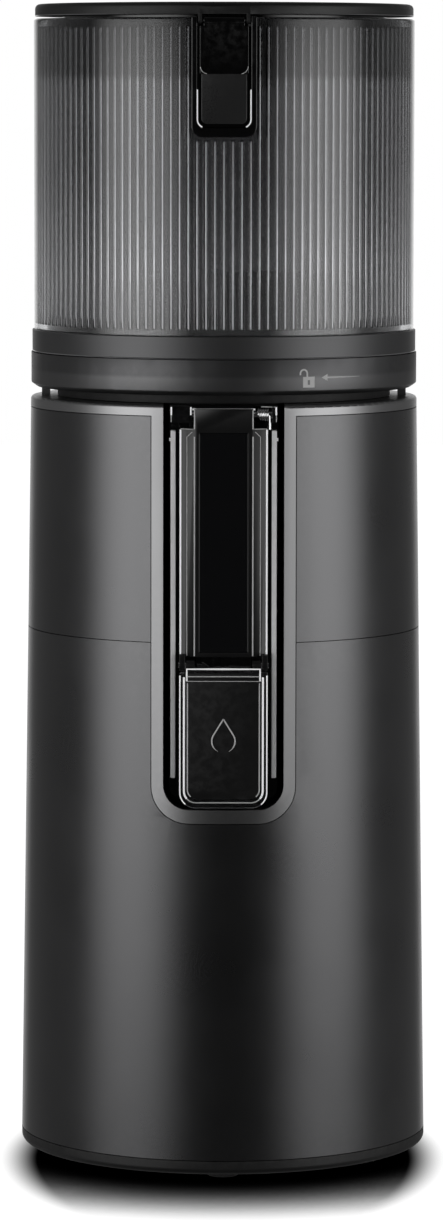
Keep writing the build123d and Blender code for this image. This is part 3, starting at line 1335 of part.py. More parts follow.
with BuildPart() as lid_latch:
    neck_x = (-LATCH_HALF + LATCH_SHOULDER, LATCH_HALF - LATCH_SHOULDER)
    block(neck_x, (latch_front_y, latch_back_y), (latch_step_z, latch_pin_z))
    block((-LATCH_HALF, LATCH_HALF), (latch_front_y, latch_back_y), (latch_step_z, latch_pin_z - 2))
    panel(TAB_HALF, latch_low, latch_step_z, LATCH_CORNER, latch_back_y, latch_front_y - LATCH_STEP)
    cross_rod(LATCH_BARREL_R, neck_x, latch_pin_at)
    cross_rod(LATCH_PIN_R, (-ear_x[1], ear_x[1]), latch_pin_at)
    with BuildSketch(front_plane(latch_back_y)) as magnet_seat:
        with Locations((0, magnet_z)):
            Circle(MAGNET_R)
    extrude(magnet_seat.sketch, amount=MAGNET_T, mode=Mode.SUBTRACT)
save(lid_latch, "lid_latch")

with BuildPart() as latch_magnet:
    with BuildSketch(front_plane(latch_back_y)) as magnet_disc:
        with Locations((0, magnet_z)):
            Circle(MAGNET_R)
    extrude(magnet_disc.sketch, amount=MAGNET_T)
save(latch_magnet, "latch_magnet")

print("gear ratio", round(ratio_first * ratio_second * ratio_output, 3))
print("axes", [round(v, 3) for v in (*first_axis, *second_axis)])
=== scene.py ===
"""Finishes, added detail, light and camera for the cold press juicer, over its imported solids."""
import logging
import math
from collections.abc import Callable
from dataclasses import dataclass
from enum import Enum

import bmesh
import bpy
from mathutils import Matrix, Vector


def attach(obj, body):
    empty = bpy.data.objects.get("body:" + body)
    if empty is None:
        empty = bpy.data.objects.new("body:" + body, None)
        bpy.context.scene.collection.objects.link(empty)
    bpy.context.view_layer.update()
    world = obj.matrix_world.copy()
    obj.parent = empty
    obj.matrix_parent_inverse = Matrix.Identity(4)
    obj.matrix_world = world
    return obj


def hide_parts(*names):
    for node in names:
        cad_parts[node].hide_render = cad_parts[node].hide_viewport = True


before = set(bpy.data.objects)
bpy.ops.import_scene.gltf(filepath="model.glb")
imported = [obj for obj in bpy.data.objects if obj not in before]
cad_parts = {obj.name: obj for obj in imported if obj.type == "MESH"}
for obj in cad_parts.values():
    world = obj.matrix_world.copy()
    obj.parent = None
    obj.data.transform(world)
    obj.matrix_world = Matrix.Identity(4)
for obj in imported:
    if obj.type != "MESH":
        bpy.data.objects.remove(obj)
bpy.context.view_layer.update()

LOG = logging.getLogger("juicer")
MM = 0.001
Triple = tuple[float, float, float]
Colour = Triple
Point = tuple[float, float]
Socket, Node, Tree = bpy.types.NodeSocket, bpy.types.Node, bpy.types.NodeTree
Piece, Form = bpy.types.Object, bmesh.types.BMesh
# The body's skin: its radius at the foot, where that is, and how much it draws in for each unit of height.
BODY_FOOT_R, BODY_FOOT_Z, BODY_SLOPE = 75.5, 6.6, 0.01442
# Rounding: points this close are joined, edges under the first angle go, those over the second are rounded.
WELD, FLAT_ANGLE, SHARP_ANGLE = 0.003, 0.6, 28.0
# Clear plastic, and the height that the lights are aimed at, in metres.
CLEAR_IOR, AIM_Z = 1.49, 0.24


def rgba(colour: Colour) -> tuple[float, float, float, float]:
    """Returns a colour with full cover, as sockets hold it."""
    return (*colour, 1.0)


def grey(level: float, blue: float | None = None) -> Colour:
    """Returns a grey, with a blue of its own where it isn't quite neutral."""
    return (level, level, level if blue is None else blue)


# Node trees.
class Graph:
    """Adds and joins the nodes of one tree."""

    def __init__(self, tree: Tree) -> None:
        """Keeps the tree that the nodes go into."""
        self.tree = tree

    def feed(self, socket: Socket, value: object) -> None:
        """Links a socket to another one, or gives it a plain value.

        Args:
            socket: The input to fill.
            value: An output socket, or a value for the input itself.
        """
        if isinstance(value, Socket):
            self.tree.links.new(value, socket)
        else:
            socket.default_value = value

    def add(self, kind: str, inputs: dict | None = None, **settings: object) -> Node:
        """Adds a node.

        Args:
            kind: The node's type name.
            inputs: What each input gets, by its name or number.
            **settings: The node's own properties.

        Returns:
            The new node.
        """
        node = self.tree.nodes.new(kind)
        for name, value in settings.items():
            setattr(node, name, value)
        for key, value in (inputs or {}).items():
            self.feed(node.inputs[key], value)
        return node

    def sum(self, operation: str, first: object, second: object = 0.0) -> Socket:
        """Returns the result of one sum on two numbers."""
        return self.add("ShaderNodeMath", {0: first, 1: second}, operation=operation).outputs[0]

    def vector(self, operation: str, first: object, second: object) -> Socket:
        """Returns the result of one sum on two vectors."""
        return self.add("ShaderNodeVectorMath", {0: first, 1: second}, operation=operation).outputs[0]

    def length(self, first: object) -> Socket:
        """Returns a vector's length."""
        return self.add("ShaderNodeVectorMath", {0: first}, operation="LENGTH").outputs["Value"]

    def place(self) -> Socket:
        """Returns the place on a piece, in its own coordinates."""
        return self.add("ShaderNodeTexCoord").outputs["Object"]

    def height(self) -> Socket:
        """Returns the height above the floor."""
        return self.add("ShaderNodeSeparateXYZ", {0: self.place()}).outputs["Z"]

    def noise(self, place: object, scale: object, detail: float = 2.0) -> Socket:
        """Returns the value of a noise pattern."""
        return self.add("ShaderNodeTexNoise", {"Vector": place, "Scale": scale, "Detail": detail}).outputs[0]

    def bump(self, height: object, depth: float, strength: float = 0.6) -> Socket:
        """Returns normals bent by a pattern, with its depth in millimetres."""
        inputs = {"Height": height, "Distance": depth * MM, "Strength": strength}
        return self.add("ShaderNodeBump", inputs).outputs[0]

    def seen(self) -> Socket:
        """Returns 1 for what the camera sees, also through clear pieces."""
        rays = self.add("ShaderNodeLightPath").outputs
        return self.sum("MAXIMUM", rays["Is Camera Ray"], rays["Is Transmission Ray"])

    def fill(self, shader: Node, values: dict[str, object]) -> None:
        """Fills several inputs of a node by name."""
        for name, value in values.items():
            self.feed(shader.inputs[name], value)

    def effect(self, effect: "Effect", inputs: dict[str, object]) -> Node:
        """Adds a shared effect with a finish's own values."""
        return self.add("ShaderNodeGroup", inputs, node_tree=effect.tree())

    def skin(self, tone: "Moulded | Clear") -> Node:
        """Adds the moulded skin in a finish's own tones."""
        low, high = tone.rough
        return self.effect(Effect.SKIN, {
            "Dark": rgba(tone.dark), "Light": rgba(tone.light), "Blotch": tone.blotch, "Grain": tone.grain,
            "Low": low, "High": high,
        })

    def rub_and_highlight(self, colour: object, worn: Colour, amount: float) -> Socket:
        """Returns a colour made paler along raised edges: scuffing, and on some finishes a painted edge
        highlight.
        """
        inputs = {"Color": colour, "Worn": rgba(worn), "Amount": amount}
        return self.effect(Effect.WEAR, inputs).outputs["Color"]

    def ramp(self, value: object, span: Point, out: tuple = (0.0, 1.0)) -> Socket:
        """Returns a value taken smoothly from one span to another."""
        node = self.add(
            "ShaderNodeMapRange",
            {"Value": value, "From Min": span[0], "From Max": span[1], "To Min": out[0], "To Max": out[1]},
            interpolation_type="SMOOTHSTEP",
        )
        return node.outputs["Result"]

    def blend(self, share: object, first: object, second: object) -> Socket:
        """Returns a mix of two colours."""
        node = self.add("ShaderNodeMix", {0: share, 6: first, 7: second}, data_type="RGBA")
        return node.outputs[2]


class Effect(Enum):
    """The shader groups that several finishes share."""

    SKIN = "moulded_skin"
    # Paler raised edges: scuffing, and also a painted edge highlight.
    WEAR = "edge_wear"
    LINES = "drawn_lines"

    def tree(self) -> Tree:
        """Returns the group's tree, built on first use."""
        found = bpy.data.node_groups.get(self.value)
        if found:
            return found
        tree = bpy.data.node_groups.new(self.value, "ShaderNodeTree")
        {Effect.SKIN: build_skin, Effect.WEAR: build_wear_and_highlight, Effect.LINES: build_lines}[self](tree)
        return tree


def group_sockets(tree: Tree, takes: dict[str, str], gives: dict[str, str]) -> tuple:
    """Makes a group's named sockets.

    Args:
        tree: The group.
        takes: Each input's name and socket type.
        gives: Each output's name and socket type.

    Returns:
        The group's input node and its output node.
    """
    for way, sockets in (("INPUT", takes), ("OUTPUT", gives)):
        for name, kind in sockets.items():
            tree.interface.new_socket(name=name, in_out=way, socket_type=kind)
    return tree.nodes.new("NodeGroupInput"), tree.nodes.new("NodeGroupOutput")


NUMBER, SHADE, ARROW = "NodeSocketFloat", "NodeSocketColor", "NodeSocketVector"


def build_skin(tree: Tree) -> None:
    """Fills the group for a moulded skin: slow blotches, a fine grain, and a roughness that follows both.

    Args:
        tree: The group to fill.
    """
    take, give = group_sockets(
        tree,
        {"Dark": SHADE, "Light": SHADE, "Blotch": NUMBER, "Grain": NUMBER, "Low": NUMBER, "High": NUMBER},
        {"Color": SHADE, "Roughness": NUMBER, "Height": NUMBER},
    )
    graph = Graph(tree)
    place = graph.place()
    slow = graph.noise(place, take.outputs["Blotch"], 3.0)
    fine = graph.noise(place, take.outputs["Grain"])
    share = graph.ramp(slow, (0.3, 0.7))
    speck = graph.sum("MULTIPLY", graph.ramp(fine, (0.35, 0.65)), 0.35)
    both = graph.sum("ADD", graph.sum("MULTIPLY", share, 0.65), speck)
    rough = graph.add(
        "ShaderNodeMapRange",
        {"Value": both, "To Min": take.outputs["Low"], "To Max": take.outputs["High"]},
    ).outputs["Result"]
    colour = graph.blend(both, take.outputs["Dark"], take.outputs["Light"])
    graph.fill(give, {"Color": colour, "Roughness": rough, "Height": fine})


def build_wear_and_highlight(tree: Tree) -> None:
    """Fills the group that turns a colour paler along its raised edges, as scuffing and as a painted edge
    highlight.

    Args:
        tree: The group to fill.
    """
    take, give = group_sockets(
        tree, {"Color": SHADE, "Worn": SHADE, "Amount": NUMBER}, {"Color": SHADE, "Mask": NUMBER},
    )
    graph = Graph(tree)
    # Raised edges turn paler: scuffing, and a painted highlight along edges that the light would catch.
    raised = graph.ramp(graph.add("ShaderNodeNewGeometry").outputs["Pointiness"], (0.51, 0.62))
    broken = graph.noise(graph.place(), 420.0, 4.0)
    rub_and_highlight = graph.sum("MULTIPLY", raised, graph.ramp(broken, (0.35, 0.7)))
    mask = graph.sum("MULTIPLY", rub_and_highlight, take.outputs["Amount"])
    worn = graph.blend(mask, take.outputs["Color"], take.outputs["Worn"])
    graph.fill(give, {"Color": worn, "Mask": mask})


def build_lines(tree: Tree) -> None:
    """Fills the group for fine drawn or turned lines, which run where the stretch is small.

    Args:
        tree: The group to fill.
    """
    take, give = group_sockets(tree, {"Stretch": ARROW}, {"Value": NUMBER})
    graph = Graph(tree)
    pulled = graph.vector("MULTIPLY", graph.place(), take.outputs["Stretch"])
    graph.feed(give.inputs["Value"], graph.noise(pulled, 1.0, 3.0))


# Finishes.
@dataclass(frozen=True)
class Moulded:
    """A moulded or painted plastic, or a rubber.

    Attributes:
        slot: The record's slot that pieces with this finish belong to; not used here.
        dark: Colour of the darker blotches.
        light: Colour of the lighter ones.
        rough: Lowest and highest roughness.
        blotch: Blotches in a metre.
        grain: Grains in a metre.
        depth: Depth of the grain in millimetres.
        metallic: Share of metal flake.
        coat: Weight of the clear coat.
        worn: Colour that raised edges take: scuffing, and on some finishes a painted edge highlight.
        wear: How far edges take that colour.
        painted_glow: Painted light: emission that brightens a clear edge's highlight line though it is no
            lamp.
    """

    slot: str
    dark: Colour
    light: Colour
    rough: Point
    blotch: float = 22.0
    grain: float = 2600.0
    depth: float = 0.01
    metallic: float = 0.0
    coat: float = 0.0
    worn: Colour = grey(0.10)
    wear: float = 0.15
    painted_glow: float = 0.0

    def shade(self, graph: Graph, shader: Node) -> None:
        """Fills the material's tree.

        Args:
            graph: The material's graph.
            shader: Its Principled shader.
        """
        skin = graph.skin(self)
        graph.fill(shader, {
            "Base Color": graph.rub_and_highlight(skin.outputs["Color"], self.worn, self.wear),
            "Roughness": skin.outputs["Roughness"],
            "Normal": graph.bump(skin.outputs["Height"], self.depth),
            "Metallic": self.metallic, "Coat Weight": self.coat, "Coat Roughness": 0.04,
        })
        # Painted light: the edge glows by emission, though it is no lamp.
        if self.painted_glow:
            graph.fill(shader, {"Emission Color": skin.outputs["Color"], "Emission Strength": self.painted_glow})


class Border(Enum):
    """Where a finish with two tones changes: the levels in millimetres between which it blends."""

    BODY_SKIN = (280.35, 280.5)
    TAB_TOP = (398.95, 398.85)
    COLLAR_STEP = (291.4, 289.8)

    def share(self, graph: Graph) -> Socket:
        """Returns 1 where the second tone lies: past the levels, and for the body also on its outer skin.

        Args:
            graph: The material's graph.

        Returns:
            The share of the second tone.
        """
        height = graph.height()
        past = graph.ramp(height, (self.value[0] * MM, self.value[1] * MM))
        if self is not Border.BODY_SKIN:
            return past
        radius = graph.length(graph.vector("MULTIPLY", graph.place(), (1.0, 1.0, 0.0)))
        draft = graph.sum("MULTIPLY", graph.sum("SUBTRACT", height, BODY_FOOT_Z * MM), BODY_SLOPE)
        skin = graph.sum("SUBTRACT", BODY_FOOT_R * MM, draft)
        outside = graph.ramp(graph.sum("SUBTRACT", radius, skin), (-0.7 * MM, -0.4 * MM))
        return graph.sum("MAXIMUM", outside, past)


@dataclass(frozen=True)
class TwoTone:
    """Two moulded skins that meet along a border.

    Attributes:
        slot: The record's slot; not used here.
        first: The tone on the near side of the border.
        second: The tone past it.
        border: Where they meet.
    """

    slot: str
    first: Moulded
    second: Moulded
    border: Border

    def shade(self, graph: Graph, shader: Node) -> None:
        """Fills the material's tree.

        Args:
            graph: The material's graph.
            shader: Its Principled shader.
        """
        near, far = graph.skin(self.first).outputs, graph.skin(self.second).outputs
        share = self.border.share(graph)
        colour = graph.blend(share, near["Color"], far["Color"])
        rough = graph.add("ShaderNodeMix", {0: share, 2: near["Roughness"], 3: far["Roughness"]}).outputs[0]
        flake = (self.first.metallic, self.second.metallic)
        graph.fill(shader, {
            "Base Color": graph.rub_and_highlight(colour, self.second.worn, self.second.wear), "Roughness": rough,
            "Metallic": graph.ramp(share, (0.0, 1.0), flake),
            "Normal": graph.bump(far["Height"], self.second.depth),
        })


@dataclass(frozen=True)
class Worked:
    """A worked metal with drawn, turned or polished lines.

    Attributes:
        slot: The record's slot; not used here.
        dark: Colour in the lines.
        light: Colour between them.
        rough: Lowest and highest roughness.
        stretch: Lines in a metre along x, y and z.
        depth: Depth of the lines in millimetres.
    """

    slot: str
    dark: Colour
    light: Colour
    rough: Point
    stretch: Triple = (90.0, 90.0, 4200.0)
    depth: float = 0.004

    def shade(self, graph: Graph, shader: Node) -> None:
        """Fills the material's tree.

        Args:
            graph: The material's graph.
            shader: Its Principled shader.
        """
        lines = graph.effect(Effect.LINES, {"Stretch": self.stretch}).outputs["Value"]
        tint = graph.blend(graph.ramp(lines, (0.35, 0.65)), rgba(self.dark), rgba(self.light))
        graph.fill(shader, {
            "Base Color": graph.rub_and_highlight(tint, grey(0.9), 0.3),
            "Roughness": graph.ramp(lines, (0.3, 0.7), self.rough),
            "Normal": graph.bump(lines, self.depth, 0.5), "Metallic": 1.0,
        })


@dataclass(frozen=True)
class Clear:
    """A clear moulding, smoked or plain, with faint flow marks.

    Attributes:
        slot: The record's slot; not used here.
        dark: Tint of the thicker places.
        light: Tint of the thinner ones.
        rough: Lowest and highest roughness.
        foot: Tint at the foot of the hopper's wall, paler, which paints light showing through there.
        plug_shade_tint: Tint of that wall beside the bowl of the lid, darker, which paints the bowl's shade
            seen through the wall.
        painted_foot_light: Levels in millimetres from which it starts to take the foot's tint, and where it
            has it.
        bowl: Levels between which it turns to the darker tint.
        blotch: Blotches in a metre.
        grain: Grains in a metre.
    """

    slot: str
    dark: Colour
    light: Colour
    rough: Point
    foot: Colour | None = None
    plug_shade_tint: Colour | None = None
    painted_foot_light: Point = (390.0, 306.0)
    bowl: Point = (395.5, 399.5)
    blotch: float = 9.0
    grain: float = 160.0

    def shade(self, graph: Graph, shader: Node) -> None:
        """Fills the material's tree.

        Args:
            graph: The material's graph.
            shader: Its Principled shader.
        """
        skin = graph.skin(self)
        tint = skin.outputs["Color"]
        # Painted light and shade: the wall's tint turns paler towards its foot and darker beside the lid's
        # bowl, by height.
        if self.foot and self.plug_shade_tint:
            level = graph.height()
            painted_foot_light = graph.ramp(level, (self.painted_foot_light[0] * MM, self.painted_foot_light[1] * MM))
            bowl = graph.ramp(level, (self.bowl[0] * MM, self.bowl[1] * MM))
            tint = graph.blend(graph.sum("POWER", painted_foot_light, 1.6), tint, rgba(self.foot))
            tint = graph.blend(bowl, tint, rgba(self.plug_shade_tint))
        graph.fill(shader, {
            "Base Color": tint, "Roughness": skin.outputs["Roughness"], "Transmission Weight": 1.0,
            "IOR": CLEAR_IOR,
        })


@dataclass(frozen=True)
class Stacked:
    """Thin varnished sheets stacked along the axis.

    Attributes:
        slot: The record's slot; not used here.
        dark: Colour in the joints.
        light: Colour of the sheets' edges.
        pitch: Sheet thickness in millimetres.
    """

    slot: str
    dark: Colour
    light: Colour
    pitch: float = 0.5

    def shade(self, graph: Graph, shader: Node) -> None:
        """Fills the material's tree.

        Args:
            graph: The material's graph.
            shader: Its Principled shader.
        """
        scale = 0.314 / (self.pitch * MM)
        sheets = graph.add(
            "ShaderNodeTexWave",
            {"Vector": graph.place(), "Scale": scale, "Distortion": 0.2, "Detail": 1.0},
            bands_direction="Z",
        ).outputs["Fac"]
        edge = graph.ramp(sheets, (0.05, 0.4))
        graph.fill(shader, {
            "Base Color": graph.blend(edge, rgba(self.dark), rgba(self.light)),
            "Roughness": graph.ramp(sheets, (0.0, 1.0), (0.65, 0.4)),
            "Normal": graph.bump(edge, 0.05, 0.7), "Metallic": 0.8,
        })


@dataclass(frozen=True)
class Circuit:
    """A coated circuit board with tracks and tinned pads.

    Attributes:
        slot: The record's slot; not used here.
        coat: Colour of the coating.
        track: Colour over the tracks.
        pad: Colour of the pads.
    """

    slot: str
    coat: Colour
    track: Colour
    pad: Colour

    def shade(self, graph: Graph, shader: Node) -> None:
        """Fills the material's tree.

        Args:
            graph: The material's graph.
            shader: Its Principled shader.
        """
        quarter = (math.pi / 2, 0.0, 0.0)
        turned = graph.add("ShaderNodeMapping", {"Vector": graph.place(), "Rotation": quarter}).outputs[0]
        tracks = graph.add(
            "ShaderNodeTexBrick", {"Vector": turned, "Scale": 140.0, "Mortar Size": 0.03},
        ).outputs["Fac"]
        cells = graph.add(
            "ShaderNodeTexVoronoi", {"Vector": turned, "Scale": 190.0, "Randomness": 0.2},
        ).outputs["Distance"]
        pads = graph.ramp(cells, (0.16, 0.12))
        base = graph.blend(tracks, rgba(self.coat), rgba(self.track))
        graph.fill(shader, {
            "Base Color": graph.blend(pads, base, rgba(self.pad)),
            "Roughness": graph.ramp(cells, (0.0, 0.5), (0.25, 0.4)), "Metallic": pads,
            "Normal": graph.bump(tracks, 0.05),
        })


class Finish(Enum):
    """Every finish on the juicer."""

    CHARCOAL = Moulded(
        "satin_charcoal", grey(0.092, 0.094), grey(0.104, 0.106),
        (0.27, 0.32), blotch=30.0, grain=3600.0, depth=0.003, metallic=0.96, worn=grey(0.14),
    )
    BEZEL = TwoTone(
        "satin_bezel",
        Moulded("gloss_black", grey(0.0016, 0.0017), grey(0.0024, 0.0025), (0.3, 0.36)),
        Moulded(
            "satin_bezel", grey(0.235, 0.238), grey(0.255, 0.258), (0.30, 0.36),
            grain=3600.0, depth=0.004, metallic=0.95, worn=grey(0.3), wear=0.3,
        ),
        Border.BODY_SKIN,
    )
    COLLAR = TwoTone(
        "satin_bezel",
        Moulded("satin_bezel", grey(0.078, 0.080), grey(0.086, 0.088), (0.40, 0.44), metallic=0.95),
        Moulded(
            "satin_bezel", grey(0.112, 0.114), grey(0.122, 0.124), (0.40, 0.44), grain=3200.0,
            depth=0.004, metallic=0.95, worn=grey(0.16),
        ),
        Border.COLLAR_STEP,
    )
    BAND = Moulded(
        "smoke_clear", grey(0.090, 0.092), grey(0.100, 0.102), (0.42, 0.46), grain=3200.0,
        depth=0.004, metallic=0.9, wear=0.0,
    )
    # A paler line round the foot ring's lower edge, which paints the highlight there.
    FOOT_EDGE = Moulded(
        "rubber_black", grey(0.055, 0.056), grey(0.070, 0.071), (0.26, 0.34), grain=2400.0, wear=0.0,
    )
    DRUM = Moulded(
        "gloss_black", grey(0.0010, 0.0011), grey(0.0016, 0.0017), (0.55, 0.65), grain=2000.0,
        depth=0.004,
    )
    GLOSS = Moulded(
        "gloss_black", grey(0.0024, 0.0026), grey(0.0027, 0.0029), (0.085, 0.095),
        blotch=14.0, grain=900.0, depth=0.0, wear=0.1,
    )
    INLAY = Moulded(
        "gloss_black", (0.0044, 0.0045, 0.0050), (0.0048, 0.0049, 0.0055), (0.06, 0.07),
        blotch=10.0, grain=700.0, depth=0.0, coat=0.3, wear=0.0,
    )
    MATT = Moulded(
        "soft_black", grey(0.004), grey(0.006), (0.45, 0.55),
        grain=2200.0, depth=0.01,
    )
    CAP_MATT = Moulded(
        "gloss_black", grey(0.0060, 0.0062), grey(0.0064, 0.0066), (0.33, 0.35),
        grain=3000.0, depth=0.002,
    )
    LATCH = TwoTone(
        "gloss_black",
        Moulded("gloss_black", grey(0.0018, 0.0019), grey(0.0021, 0.0022), (0.085, 0.095)),
        Moulded(
            "gloss_black", grey(0.018, 0.0182), grey(0.022, 0.0222), (0.26, 0.34),
            grain=3000.0, depth=0.003,
        ),
        Border.TAB_TOP,
    )
    RAIL = Moulded(
        "rail_grey", grey(0.82, 0.825), grey(0.90, 0.905), (0.30, 0.42), grain=2000.0,
        worn=grey(0.6),
    )
    COMPONENT = Moulded(
        "component_black", grey(0.018, 0.019), grey(0.028, 0.03), (0.45, 0.62),
        grain=1800.0, depth=0.02,
    )
    AUGER = Moulded(
        "auger_plastic", grey(0.022, 0.024), grey(0.034, 0.036), (0.28, 0.42),
        blotch=40.0, grain=1500.0, depth=0.01, wear=0.25,
    )
    NYLON = Moulded(
        "gear_plastic", (0.60, 0.57, 0.50), (0.70, 0.68, 0.62), (0.35, 0.5),
        grain=1600.0, worn=(0.8, 0.79, 0.75),
    )
    RUBBER = Moulded(
        "rubber_black", grey(0.010), grey(0.018), (0.75, 0.9),
        blotch=60.0, grain=1400.0, depth=0.04, worn=grey(0.05), wear=0.4,
    )
    SILICONE = Moulded(
        "silicone_grey", grey(0.09), grey(0.12), (0.5, 0.65),
        grain=1200.0, depth=0.02, worn=grey(0.2),
    )
    # Pale grey: real print, and also thin beads that paint fainter highlights along edges.
    PRINT = Moulded(
        "rail_grey", grey(0.60), grey(0.68), (0.5, 0.6), grain=5000.0,
        worn=grey(0.5), wear=0.0,
    )
    # Its tints by height paint light at the wall's foot and the lid bowl's shade near its top.
    SMOKE = Clear(
        "smoke_clear", (0.24, 0.243, 0.25), (0.28, 0.283, 0.29), (0.02, 0.03),
        foot=(0.62, 0.625, 0.635), plug_shade_tint=(0.125, 0.127, 0.13),
    )
    SMOKE_INSIDE = Clear("smoke_clear", grey(0.030, 0.032), grey(0.036, 0.038), (0.02, 0.03))
    FLUTE_EDGE = Moulded(
        "smoke_clear", grey(0.40, 0.41), grey(0.50, 0.51), (0.12, 0.16), blotch=60.0, grain=1500.0,
        depth=0.0, metallic=0.95, wear=0.0,
    )
    EDGE = Clear("clear_edge", grey(0.10, 0.105), grey(0.14, 0.145), (0.03, 0.06))
    COVER = Moulded(
        "clear_edge", grey(0.0030, 0.0032), grey(0.0036, 0.0038), (0.34, 0.38), blotch=14.0,
        depth=0.0, worn=grey(0.02), wear=0.1,
    )
    # Near-white beads with emission: painted highlights along moulding edges, and painted glints on small
    # studs.
    LIT_EDGE = Moulded(
        "clear_edge", grey(0.92, 0.93), grey(0.97, 0.98), (0.12, 0.2), blotch=90.0, grain=1500.0,
        depth=0.0, wear=0.0, painted_glow=0.3,
    )
    STEEL = Worked("steel", grey(0.50, 0.51), grey(0.62, 0.63), (0.26, 0.4))
    BRIGHT = Worked(
        "bright_steel", grey(0.70, 0.71), grey(0.80, 0.81), (0.08, 0.2),
        stretch=(2500.0, 300.0, 300.0), depth=0.001,
    )
    GEAR = Worked(
        "gear_steel", grey(0.36, 0.37), grey(0.48, 0.49), (0.3, 0.45),
        stretch=(900.0, 900.0, 900.0),
    )
    BRONZE = Worked(
        "bronze", (0.42, 0.28, 0.12), (0.62, 0.44, 0.22), (0.4, 0.6),
        stretch=(1800.0, 1800.0, 1800.0), depth=0.02,
    )
    MAGNET = Worked(
        "magnet", grey(0.55, 0.56), grey(0.66, 0.67), (0.15, 0.28),
        stretch=(700.0, 700.0, 700.0), depth=0.001,
    )
    SHEETS = Stacked("lamination", grey(0.05, 0.055), grey(0.26, 0.27))
    BOARD = Circuit("board_green", (0.012, 0.075, 0.03), (0.03, 0.14, 0.06), grey(0.6))

    def material(self) -> bpy.types.Material:
        """Returns the finish's material, built on first use."""
        name = f"{self.name.lower()}_finish"
        found = bpy.data.materials.get(name)
        if found:
            return found
        made = bpy.data.materials.new(name)
        made.use_nodes = True
        graph = Graph(made.node_tree)
        self.value.shade(graph, made.node_tree.nodes["Principled BSDF"])
        return made


# Mesh tools.
def dress(finish: Finish, *nodes: str) -> None:
    """Gives solids that stay as they are a finish.

    Args:
        finish: The finish.
        *nodes: The solids' names.
    """
    for name in nodes:
        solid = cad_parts[name]
        if not solid.material_slots:
            solid.data.materials.append(None)
        for place in solid.material_slots:
            place.material = finish.material()
        LOG.info("solid %s: %s", name, finish.name.lower())


def carry(piece: Piece, finish: Finish, body: str, *stands_for: str) -> None:
    """Finishes a new piece and ties it to its body.

    Args:
        piece: The piece, with its place in its mesh.
        finish: Its finish.
        body: The body it rides on.
        *stands_for: Solids that it replaces.
    """
    if not piece.data.materials:
        piece.data.materials.append(finish.material())
    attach(piece, body)
    if stands_for:
        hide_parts(*stands_for)
    LOG.info("piece %s on %s: %d faces", piece.name, body, len(piece.data.polygons))


def new_piece(name: str, mesh: bpy.types.Mesh) -> Piece:
    """Links a mesh into the scene as a piece at the origin."""
    piece = bpy.data.objects.new(name, mesh)
    bpy.context.scene.collection.objects.link(piece)
    return piece


def from_bmesh(name: str, form: Form, smooth: bool = False) -> Piece:
    """Turns a bmesh into a piece and frees it.

    Args:
        name: The piece's name.
        form: The mesh to keep.
        smooth: Whether its faces are shaded smooth.

    Returns:
        The new piece.
    """
    mesh = bpy.data.meshes.new(name)
    form.to_mesh(mesh)
    form.free()
    mesh.shade_smooth() if smooth else mesh.shade_flat()
    return new_piece(name, mesh)


def settled(piece: Piece, sharp: float = 40.0) -> Piece:
    """Turns a piece with modifiers into a plain mesh.

    Args:
        piece: The piece.
        sharp: Edges above this angle, in degrees, stay sharp; 0 keeps the normals it has.

    Returns:
        The same piece, with no modifiers.
    """
    graph = bpy.context.evaluated_depsgraph_get()
    mesh = bpy.data.meshes.new_from_object(piece.evaluated_get(graph))
    old = piece.data
    piece.modifiers.clear()
    piece.data = mesh
    bpy.data.meshes.remove(old)
    mesh.name = piece.name
    if sharp:
        mesh.shade_smooth()
        mesh.set_sharp_from_angle(angle=math.radians(sharp))
    return piece


def soften(node: str, name: str, width: float, finish: Finish, body: str) -> None:
    """Puts a copy with rounded edges in a solid's place.

    Args:
        node: The solid to copy.
        name: The new piece's name.
        width: Width of the rounding in millimetres.
        finish: Its finish.
        body: The body it rides on.
    """
    form = bmesh.new()
    form.from_mesh(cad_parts[node].data)
    for face in form.faces:
        face.material_index = 0
    bmesh.ops.remove_doubles(form, verts=form.verts, dist=WELD * MM)
    bmesh.ops.dissolve_limit(
        form, angle_limit=math.radians(FLAT_ANGLE), verts=form.verts, edges=form.edges, delimit={"NORMAL"},
    )
    piece = from_bmesh(name, form, smooth=True)
    bevel = piece.modifiers.new("rounding", "BEVEL")
    bevel.width = width * MM
    bevel.segments = 3
    bevel.limit_method = "ANGLE"
    bevel.angle_limit = math.radians(SHARP_ANGLE)
    bevel.harden_normals = True
    bevel.use_clamp_overlap = True
    bevel.miter_outer = "MITER_ARC"
    carry(settled(piece, sharp=0.0), finish, body, node)


def prism(form: Form, outline: list[Point], place: Callable, low: float, high: float) -> None:
    """Adds a thin raised shape to a mesh.

    Args:
        form: The mesh.
        outline: The shape's corners, anticlockwise as seen from outside, in millimetres.
        place: Takes across, up and out in millimetres to a point in space.
        low: How far out the hidden side lies.
        high: How far out the shown side lies.
    """
    back = [form.verts.new(place(u, v, low)) for u, v in outline]
    front = [form.verts.new(place(u, v, high)) for u, v in outline]
    form.faces.new(front)
    form.faces.new(back[::-1])
    for i in range(len(outline)):
        j = (i + 1) % len(outline)
        form.faces.new((back[i], back[j], front[j], front[i]))


